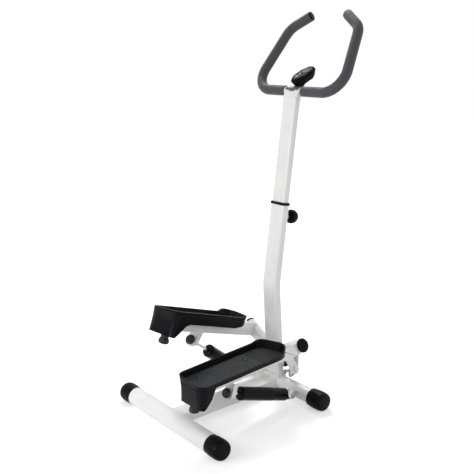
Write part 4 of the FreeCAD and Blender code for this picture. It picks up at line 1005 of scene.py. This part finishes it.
@dataclass
class FootLever(SubAssembly):
    """One foot lever: hub, link lever, arm tube and moulded footplate.

    Attributes:
        side: the user's foot it carries.
        low_turn: how far the lowered lever is turned about its hub, in degrees.
        raised_turn: how far the raised one is.
        arm_edge: rounding of the arm, the hub cap and the bumper, in millimetres.
        plate_edge: rounding of the footplate.
        bolt_edge: rounding of the bolts and bushes.
        tread_spread: how far above or below the tread's floor a face may be and still be tread.
        tread_tilt: how far such a face may lean, in degrees.
        floor_share: how squarely a face must look up to be the tread's floor, as a cosine.
        heel_foot: how much of the heel's length is left at its bottom, from 0 to 1.
        heel_rise: the height over which the heel regains its length, in millimetres.
        toe_reach: how far the outer corner of the toe is drawn forward.
        toe_zone: the stretch before the toe that follows it.
        toe_inner: how far from the machine's middle the toe starts to follow.
        toe_outer: where it follows fully.
        toe_round: the stretch before the toe over which the outer wall curves in.
        toe_pull: how far it has curved in at the toe's end.
        toe_cuts: how many cuts that curve is drawn with.
        heel_round: the same stretch at the heel.
        heel_pull: how far the outer wall curves in there.
        heel_cuts: how many cuts that curve is drawn with.
        boss_diameter: how wide the boss over the bumper is.
        boss_height: how tall that boss is.
        boss_taper: how wide its top is against its foot.
        boss_segments: how many flats go round it.
        bumper_height: the height of the bumper under it.
        rib_height: the height of the tread's ribs.
        rib_share: the share of that height above which a face is a rib's.
        seam_drop: how far under the tread's floor the seam round the wall runs.
        seam_width: how wide the seam is.
        seam_depth: how deep it is.
        wall_lean: how far a face of the wall may lean, as a sine.
    """

    side: Side = Side.RIGHT
    low_turn: float = 2.3
    raised_turn: float = -21.7
    arm_edge: float = 1.0
    plate_edge: float = 1.1
    bolt_edge: float = 0.35
    tread_spread: float = 2.6
    tread_tilt: float = 50.0
    floor_share: float = 0.99
    heel_foot: float = 0.42
    heel_rise: float = 46.0
    toe_reach: float = 15.0
    toe_zone: float = 75.0
    toe_inner: float = 70.0
    toe_outer: float = 150.0
    toe_round: float = 48.0
    toe_pull: float = 15.0
    toe_cuts: int = 9
    heel_round: float = 24.0
    heel_pull: float = 8.0
    heel_cuts: int = 5
    boss_diameter: float = 32.0
    boss_height: float = 26.0
    boss_taper: float = 0.94
    boss_segments: int = 48
    bumper_height: float = 28.0
    rib_height: float = 1.3
    rib_share: float = 0.4
    seam_drop: float = 2.0
    seam_width: float = 3.8
    seam_depth: float = 1.3
    wall_lean: float = 0.4

    def __post_init__(self) -> None:
        """Name the group after its side."""
        self.title = f"{self.side.value} foot lever"

    @property
    def rest_turn(self) -> float:
        """How far this lever is turned at rest, in degrees; the right one is the low one."""
        return self.low_turn if self.side is Side.RIGHT else self.raised_turn

    def parts(self) -> list[NodeLook]:
        """List the lever's nodes with their finishes and edges."""
        side = self.side.value
        return [
            NodeLook(f"{side}_hub_sleeve", PAINT.frame_paint, self.arm_edge),
            NodeLook(f"{side}_arm_tube", PAINT.frame_paint, self.arm_edge),
            NodeLook(f"{side}_hub_bushes", PAINT.bush_nylon, self.bolt_edge),
            NodeLook(f"{side}_hub_cap", PAINT.cap_plastic, self.arm_edge, SMOOTH_ROUND),
            NodeLook(f"{side}_link_bolt", PAINT.zinc, self.bolt_edge),
            NodeLook(f"{side}_plate_screws", PAINT.black_zinc, self.bolt_edge),
            NodeLook(f"{side}_heel_bumper", PAINT.bumper_rubber, self.arm_edge, SMOOTH_ROUND),
        ]

    def build(self) -> None:
        """Make the footplate: slimmer heel, round toe, seam round the wall and a duller tread."""
        node = f"{self.side.value}_footplate"
        mesh = welded(node, joined=False)
        level = self.level_turn()
        bmesh.ops.transform(mesh, matrix=level, verts=mesh.verts)
        self.shape_plate(mesh)
        bmesh.ops.transform(mesh, matrix=level.inverted(), verts=mesh.verts)
        plate = softened(NodeLook(node, PAINT.plate_plastic, self.plate_edge), mesh)
        up = level.inverted().to_3x3() @ Vector((0.0, 0.0, 1.0))
        rising = [face for face in plate.data.polygons if face.normal.dot(up) > self.floor_share]
        floor = max(rising, key=lambda face: face.area)
        height = floor.center.dot(up)
        self.cut_seam(plate, up, height - self.seam_drop * MM)
        self.grain_tread(plate, up, height)
        self.pieces.append(plate)
        self.pieces.append(self.bumper_boss(level))

    def level_turn(self) -> Matrix:
        """Return the move that lays this side's lever level on the user's right."""
        joint = JOINTS[f"{self.side.value}_lever_pivot"]
        pivot = Matrix.Translation(Vector(joint["pos_m"]))
        axis = Vector((abs(joint["axis"][0]), 0.0, abs(joint["axis"][2])))
        turn = Matrix.Rotation(math.radians(-self.rest_turn), 4, axis)
        flip = Matrix.Diagonal((self.side.sign, 1.0, 1.0, 1.0))
        return pivot @ turn @ pivot.inverted() @ flip

    def shape_plate(self, mesh: bmesh.types.BMesh) -> None:
        """Slope the heel's underside up from the back, draw the toe out and round the outer corners.

        Args:
            mesh: the footplate, laid level.
        """
        heel = min(vert.co.y for vert in mesh.verts)
        bottom = min(vert.co.z for vert in mesh.verts)
        toe = max(vert.co.y for vert in mesh.verts)
        for vert in mesh.verts:
            height = (vert.co.z - bottom) / MM
            keep = self.heel_foot + (1 - self.heel_foot) * min(height / self.heel_rise, 1.0)
            vert.co.y = heel + (vert.co.y - heel) * keep
        toe_steps = range(1, self.toe_cuts + 1)
        heel_steps = range(1, self.heel_cuts + 1)
        cuts = [toe - self.toe_round * MM * step / self.toe_cuts for step in toe_steps]
        cuts += [heel + self.heel_round * MM * step / self.heel_cuts for step in heel_steps]
        for cut in cuts:
            whole = [*mesh.verts, *mesh.edges, *mesh.faces]
            bmesh.ops.bisect_plane(mesh, geom=whole, plane_co=(0.0, cut, 0.0), plane_no=(0.0, 1.0, 0.0))
        for vert in mesh.verts:
            ahead = eased(vert.co.y, toe - self.toe_zone * MM, toe)
            outward = eased(vert.co.x, self.toe_inner * MM, self.toe_outer * MM)
            inward = self.toe_pull * self.bow((vert.co.y - toe) / MM / self.toe_round + 1)
            inward += self.heel_pull * self.bow((heel - vert.co.y) / MM / self.heel_round + 1)
            vert.co.y += self.toe_reach * MM * ahead * outward
            vert.co.x -= inward * MM * outward

    @staticmethod
    def bow(share: float) -> float:
        """Tell how far a rounded corner has curved in.

        Args:
            share: how far along the corner a point is, from 0 to 1, and straight before it.

        Returns:
            A share of the corner's whole pull, from 0 to 1.
        """
        share = min(max(share, 0.0), 1.0)
        return 1 - math.sqrt(1 - share * share)

    def bumper_boss(self, level: Matrix) -> bpy.types.Object:
        """Make the boss that carries the heel bumper under the sloping heel.

        Args:
            level: the move that lays the lever level.

        Returns:
            The boss.
        """
        low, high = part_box(f"{self.side.value}_heel_bumper")
        middle = level @ ((Vector(low) + Vector(high)) / 2)
        lift = (self.bumper_height + self.boss_height) / 2 * MM
        mesh = round_stub(
            self.boss_diameter, self.boss_height, self.boss_segments, self.boss_taper
        )
        bmesh.ops.translate(mesh, vec=middle + Vector((0.0, 0.0, lift)), verts=mesh.verts)
        bmesh.ops.transform(mesh, matrix=level.inverted(), verts=mesh.verts)
        bmesh.ops.recalc_face_normals(mesh, faces=mesh.faces)
        boss = add_mesh(
            f"{self.side.value}_bumper_boss", mesh, PAINT.plate_plastic, f"{self.side.value}_lever"
        )
        return boss

    def grain_tread(self, plate: bpy.types.Object, up: Vector, level: float) -> None:
        """Give the tread's floor its own finish, and the tops of its ribs a lighter one that is a
        painted highlight.

        Args:
            plate: the footplate.
            up: the tread's unit normal.
            level: the tread's distance from the origin along it, in metres.
        """
        for finish in (PAINT.tread_plastic, PAINT.rib_highlight_plastic):
            plate.data.materials.append(finish.material())
        tread, rib = 1, 2
        limit = math.cos(math.radians(self.tread_tilt))
        rib_start = self.rib_height * self.rib_share * MM
        for face in plate.data.polygons:
            height = face.center.dot(up) - level
            if abs(height) < self.tread_spread * MM and face.normal.dot(up) > limit:
                # Faces above the rib start take the lighter rib finish: a painted highlight on the
                # ridges.
                face.material_index = rib if height > rib_start else tread

    def cut_seam(self, plate: bpy.types.Object, up: Vector, level: float) -> None:
        """Press a narrow seam into the outside of the footplate's wall.

        Args:
            plate: the footplate.
            up: the tread's unit normal.
            level: the seam's distance from the origin along it, in metres.
        """
        mesh = bmesh.new()
        mesh.from_mesh(plate.data)
        middle = sum((vert.co for vert in mesh.verts), Vector()) / len(mesh.verts)
        half = self.seam_width / 2 * MM
        for height in (level - half, level + half):
            whole = [*mesh.verts, *mesh.edges, *mesh.faces]
            bmesh.ops.bisect_plane(mesh, geom=whole, plane_co=up * height, plane_no=up)
        band = []
        for face in mesh.faces:
            centre = face.calc_center_median()
            upright = abs(face.normal.dot(up)) < self.wall_lean
            outer = (centre - middle).dot(face.normal) > 0
            if upright and outer and abs(centre.dot(up) - level) < half:
                band.append(face)
        bmesh.ops.inset_region(
            mesh, faces=band, thickness=half / 2, depth=-self.seam_depth * MM, use_even_offset=True
        )
        mesh.to_mesh(plate.data)
        mesh.free()


@dataclass
class Damper(SubAssembly):
    """One hydraulic damper: enamelled barrel, gland, chromed rod and rubber stop.

    Attributes:
        side: the foot lever it holds up.
        barrel_edge: rounding of the barrel, the gland and the stop, in millimetres.
        rod_edge: rounding of the rod's ends.
    """

    side: Side = Side.RIGHT
    barrel_edge: float = 0.8
    rod_edge: float = 0.4

    def __post_init__(self) -> None:
        """Name the group after its side."""
        self.title = f"{self.side.value} damper"

    def parts(self) -> list[NodeLook]:
        """List the damper's nodes with their finishes and edges."""
        side = self.side.value
        return [
            NodeLook(f"{side}_damper_barrel", PAINT.damper_enamel, self.barrel_edge, SMOOTH_ROUND),
            NodeLook(f"{side}_damper_gland", PAINT.damper_enamel, self.barrel_edge, SMOOTH_ROUND),
            NodeLook(f"{side}_damper_rod", PAINT.chrome, self.rod_edge),
            NodeLook(f"{side}_rod_stop", PAINT.bumper_rubber, self.barrel_edge, SMOOTH_ROUND),
        ]


@dataclass
class Rocker(SubAssembly):
    """The cross bar before the post that makes one foot rise as the other falls.

    Attributes:
        bar_edge: rounding of the bar, in millimetres.
    """

    title: str = "rocker"
    bar_edge: float = 0.8

    def parts(self) -> list[NodeLook]:
        """List the rocker's one node."""
        return [NodeLook("rocker_bar", PAINT.rocker_paint, self.bar_edge)]


@dataclass(frozen=True)
class Softbox:
    """A square lamp that faces the machine.

    Attributes:
        name: its name.
        place: where it hangs, in metres.
        size: the side of its square, in metres.
        power: its power, in watts.
    """

    name: str
    place: tuple[float, float, float]
    size: float
    power: float


@dataclass
class Studio:
    """Floor, light and camera; no part of the machine.

    Attributes:
        camera_place: where the camera stands, in metres.
        camera_turn: its pitch and heading, in degrees.
        lens: its focal length, in millimetres.
        sensor: the width of its sensor, in millimetres.
        sight: how far it sees, in metres.
        softboxes: the lamps.
        lamp_target: the point they face, in metres.
        world_strength: how strongly the surroundings light the machine; 1 is seen as white.
        floor_half: half the side of the floor, in metres.
        floor_colours: the floor's darker and lighter tone.
        floor_mottle: how many blotches of tone it has in a metre.
        clear_radius: how far from the middle the floor keeps to its own tone, in metres.
        white_radius: from where on it is seen as white, in metres.
        near_glow: how strongly the floor glows to the eye within the first radius.
    """

    camera_place: tuple[float, float, float] = (1.5866, -1.3905, 1.0476)
    camera_turn: tuple[float, float] = (75.84, 49.83)
    lens: float = 55.93
    sensor: float = 36.0
    sight: float = 50.0
    softboxes: tuple[Softbox, ...] = (
        Softbox("key_softbox", (-1.5, 0.9, 2.7), 0.7, 45.0),
        Softbox("fill_softbox", (2.8, 0.2, 0.9), 1.6, 14.0),
        Softbox("rear_softbox", (-0.6, -2.8, 1.3), 1.6, 42.0),
    )
    lamp_target: tuple[float, float, float] = (0.0, 0.0, 0.35)
    world_strength: float = 0.42
    floor_half: float = 9.0
    floor_colours: tuple[str, str] = ("#E4E4E4", "#E8E8E8")
    floor_mottle: float = 3.0
    clear_radius: float = 0.7
    white_radius: float = 2.2
    near_glow: float = 0.48

    def build(self) -> None:
        """Make the floor, the lights and the camera."""
        self.add_floor()
        self.add_world()
        for softbox in self.softboxes:
            self.add_lamp(softbox)
        self.add_camera()
        bpy.context.scene.view_settings.view_transform = "Standard"

    def add_floor(self) -> None:
        """Add a pale floor that shows white where nothing shades it."""
        mesh = bmesh.new()
        bmesh.ops.create_grid(mesh, x_segments=1, y_segments=1, size=self.floor_half)
        data = bpy.data.meshes.new("studio_floor")
        mesh.to_mesh(data)
        mesh.free()
        floor = bpy.data.objects.new("studio_floor", data)
        bpy.context.scene.collection.objects.link(floor)
        data.materials.append(self.floor_board())

    def floor_board(self) -> bpy.types.Material:
        """Make the floor's material: a matt board that glows to the eye further out.

        Returns:
            The material.
        """
        made = bpy.data.materials.new("white_floor_board")
        made.use_nodes = True
        tree = made.node_tree
        tree.nodes.clear()
        place = add_node(tree, "ShaderNodeTexCoord").outputs["Object"]
        mottle = add_node(
            tree, "ShaderNodeTexNoise", values={"Scale": self.floor_mottle}, links={"Vector": place}
        )
        tone = add_node(tree, "ShaderNodeValToRGB", links={"Fac": mottle.outputs["Fac"]})
        set_ramp(tone, list(zip((0.0, 1.0), self.floor_colours)))
        board = add_node(tree, "ShaderNodeBsdfDiffuse", links={"Color": tone.outputs["Color"]})
        reach = add_node(tree, "ShaderNodeVectorMath", operation="LENGTH", links={0: place})
        fade = add_node(
            tree,
            "ShaderNodeMapRange",
            values={
                "From Min": self.clear_radius,
                "From Max": self.white_radius,
                "To Min": self.near_glow,
                "To Max": 1.0,
            },
            links={"Value": reach.outputs["Value"]},
        )
        glow = add_node(
            tree,
            "ShaderNodeEmission",
            values={"Color": (1, 1, 1, 1)},
            links={"Strength": fade.outputs["Result"]},
        )
        both = add_node(tree, "ShaderNodeAddShader", links={0: board.outputs[0], 1: glow.outputs[0]})
        mix = add_node(
            tree,
            "ShaderNodeMixShader",
            links={
                0: self.seen(tree, "Is Camera Ray", "Is Glossy Ray"),
                1: board.outputs[0],
                2: both.outputs[0],
            },
        )
        add_node(tree, "ShaderNodeOutputMaterial", links={"Surface": mix.outputs[0]})
        return made

    def seen(self, tree: bpy.types.NodeTree, *rays: str) -> bpy.types.NodeSocket:
        """Tell whether a surface is looked at by any of some kinds of ray.

        Args:
            tree: the node tree to add to.
            rays: the light path's names of the rays.

        Returns:
            An output that is 1 for those rays and 0 for others.
        """
        path = add_node(tree, "ShaderNodeLightPath")
        found = path.outputs[rays[0]]
        for ray in rays[1:]:
            either = add_node(
                tree, "ShaderNodeMath", operation="MAXIMUM", links={0: found, 1: path.outputs[ray]}
            )
            found = either.outputs[0]
        return found

    def add_world(self) -> None:
        """Light the scene evenly and show plain white behind it."""
        world = bpy.data.worlds.new("studio_world")
        bpy.context.scene.world = world
        world.use_nodes = True
        tree = world.node_tree
        tree.nodes.clear()
        shown = add_node(
            tree,
            "ShaderNodeMapRange",
            values={"To Min": self.world_strength, "To Max": 1.0},
            links={
                "Value": self.seen(tree, "Is Camera Ray", "Is Glossy Ray", "Is Transmission Ray")
            },
        )
        sky = add_node(
            tree,
            "ShaderNodeBackground",
            values={"Color": (1, 1, 1, 1)},
            links={"Strength": shown.outputs["Result"]},
        )
        add_node(tree, "ShaderNodeOutputWorld", links={"Surface": sky.outputs[0]})

    def add_lamp(self, softbox: Softbox) -> None:
        """Hang a softbox, turned to face the machine.

        Args:
            softbox: the lamp.
        """
        data = bpy.data.lights.new(softbox.name, "AREA")
        data.size = softbox.size
        data.energy = softbox.power
        lamp = bpy.data.objects.new(softbox.name, data)
        lamp.location = softbox.place
        aim = Vector(self.lamp_target) - Vector(softbox.place)
        lamp.rotation_euler = aim.to_track_quat("-Z", "Y").to_euler()
        bpy.context.scene.collection.objects.link(lamp)

    def add_camera(self) -> None:
        """Add the camera."""
        data = bpy.data.cameras.new("camera")
        data.lens = self.lens
        data.sensor_width = self.sensor
        data.clip_end = self.sight
        camera = bpy.data.objects.new("camera", data)
        camera.location = self.camera_place
        pitch, heading = (math.radians(turn) for turn in self.camera_turn)
        camera.rotation_euler = (pitch, 0.0, heading)
        bpy.context.scene.collection.objects.link(camera)
        bpy.context.scene.camera = camera


def main() -> None:
    """Build each group in order, then the studio."""
    logging.basicConfig(level=logging.INFO, format="%(name)s %(message)s")
    levers = [FootLever(side=side) for side in Side]
    dampers = [Damper(side=side) for side in Side]
    for group in (FloorFrame(), Rocker(), *levers, *dampers, Mast(), Handlebar(), Console()):
        group.build()
        group.dress()
        group.report()
    Studio().build()


if __name__ == "__main__":
    main()
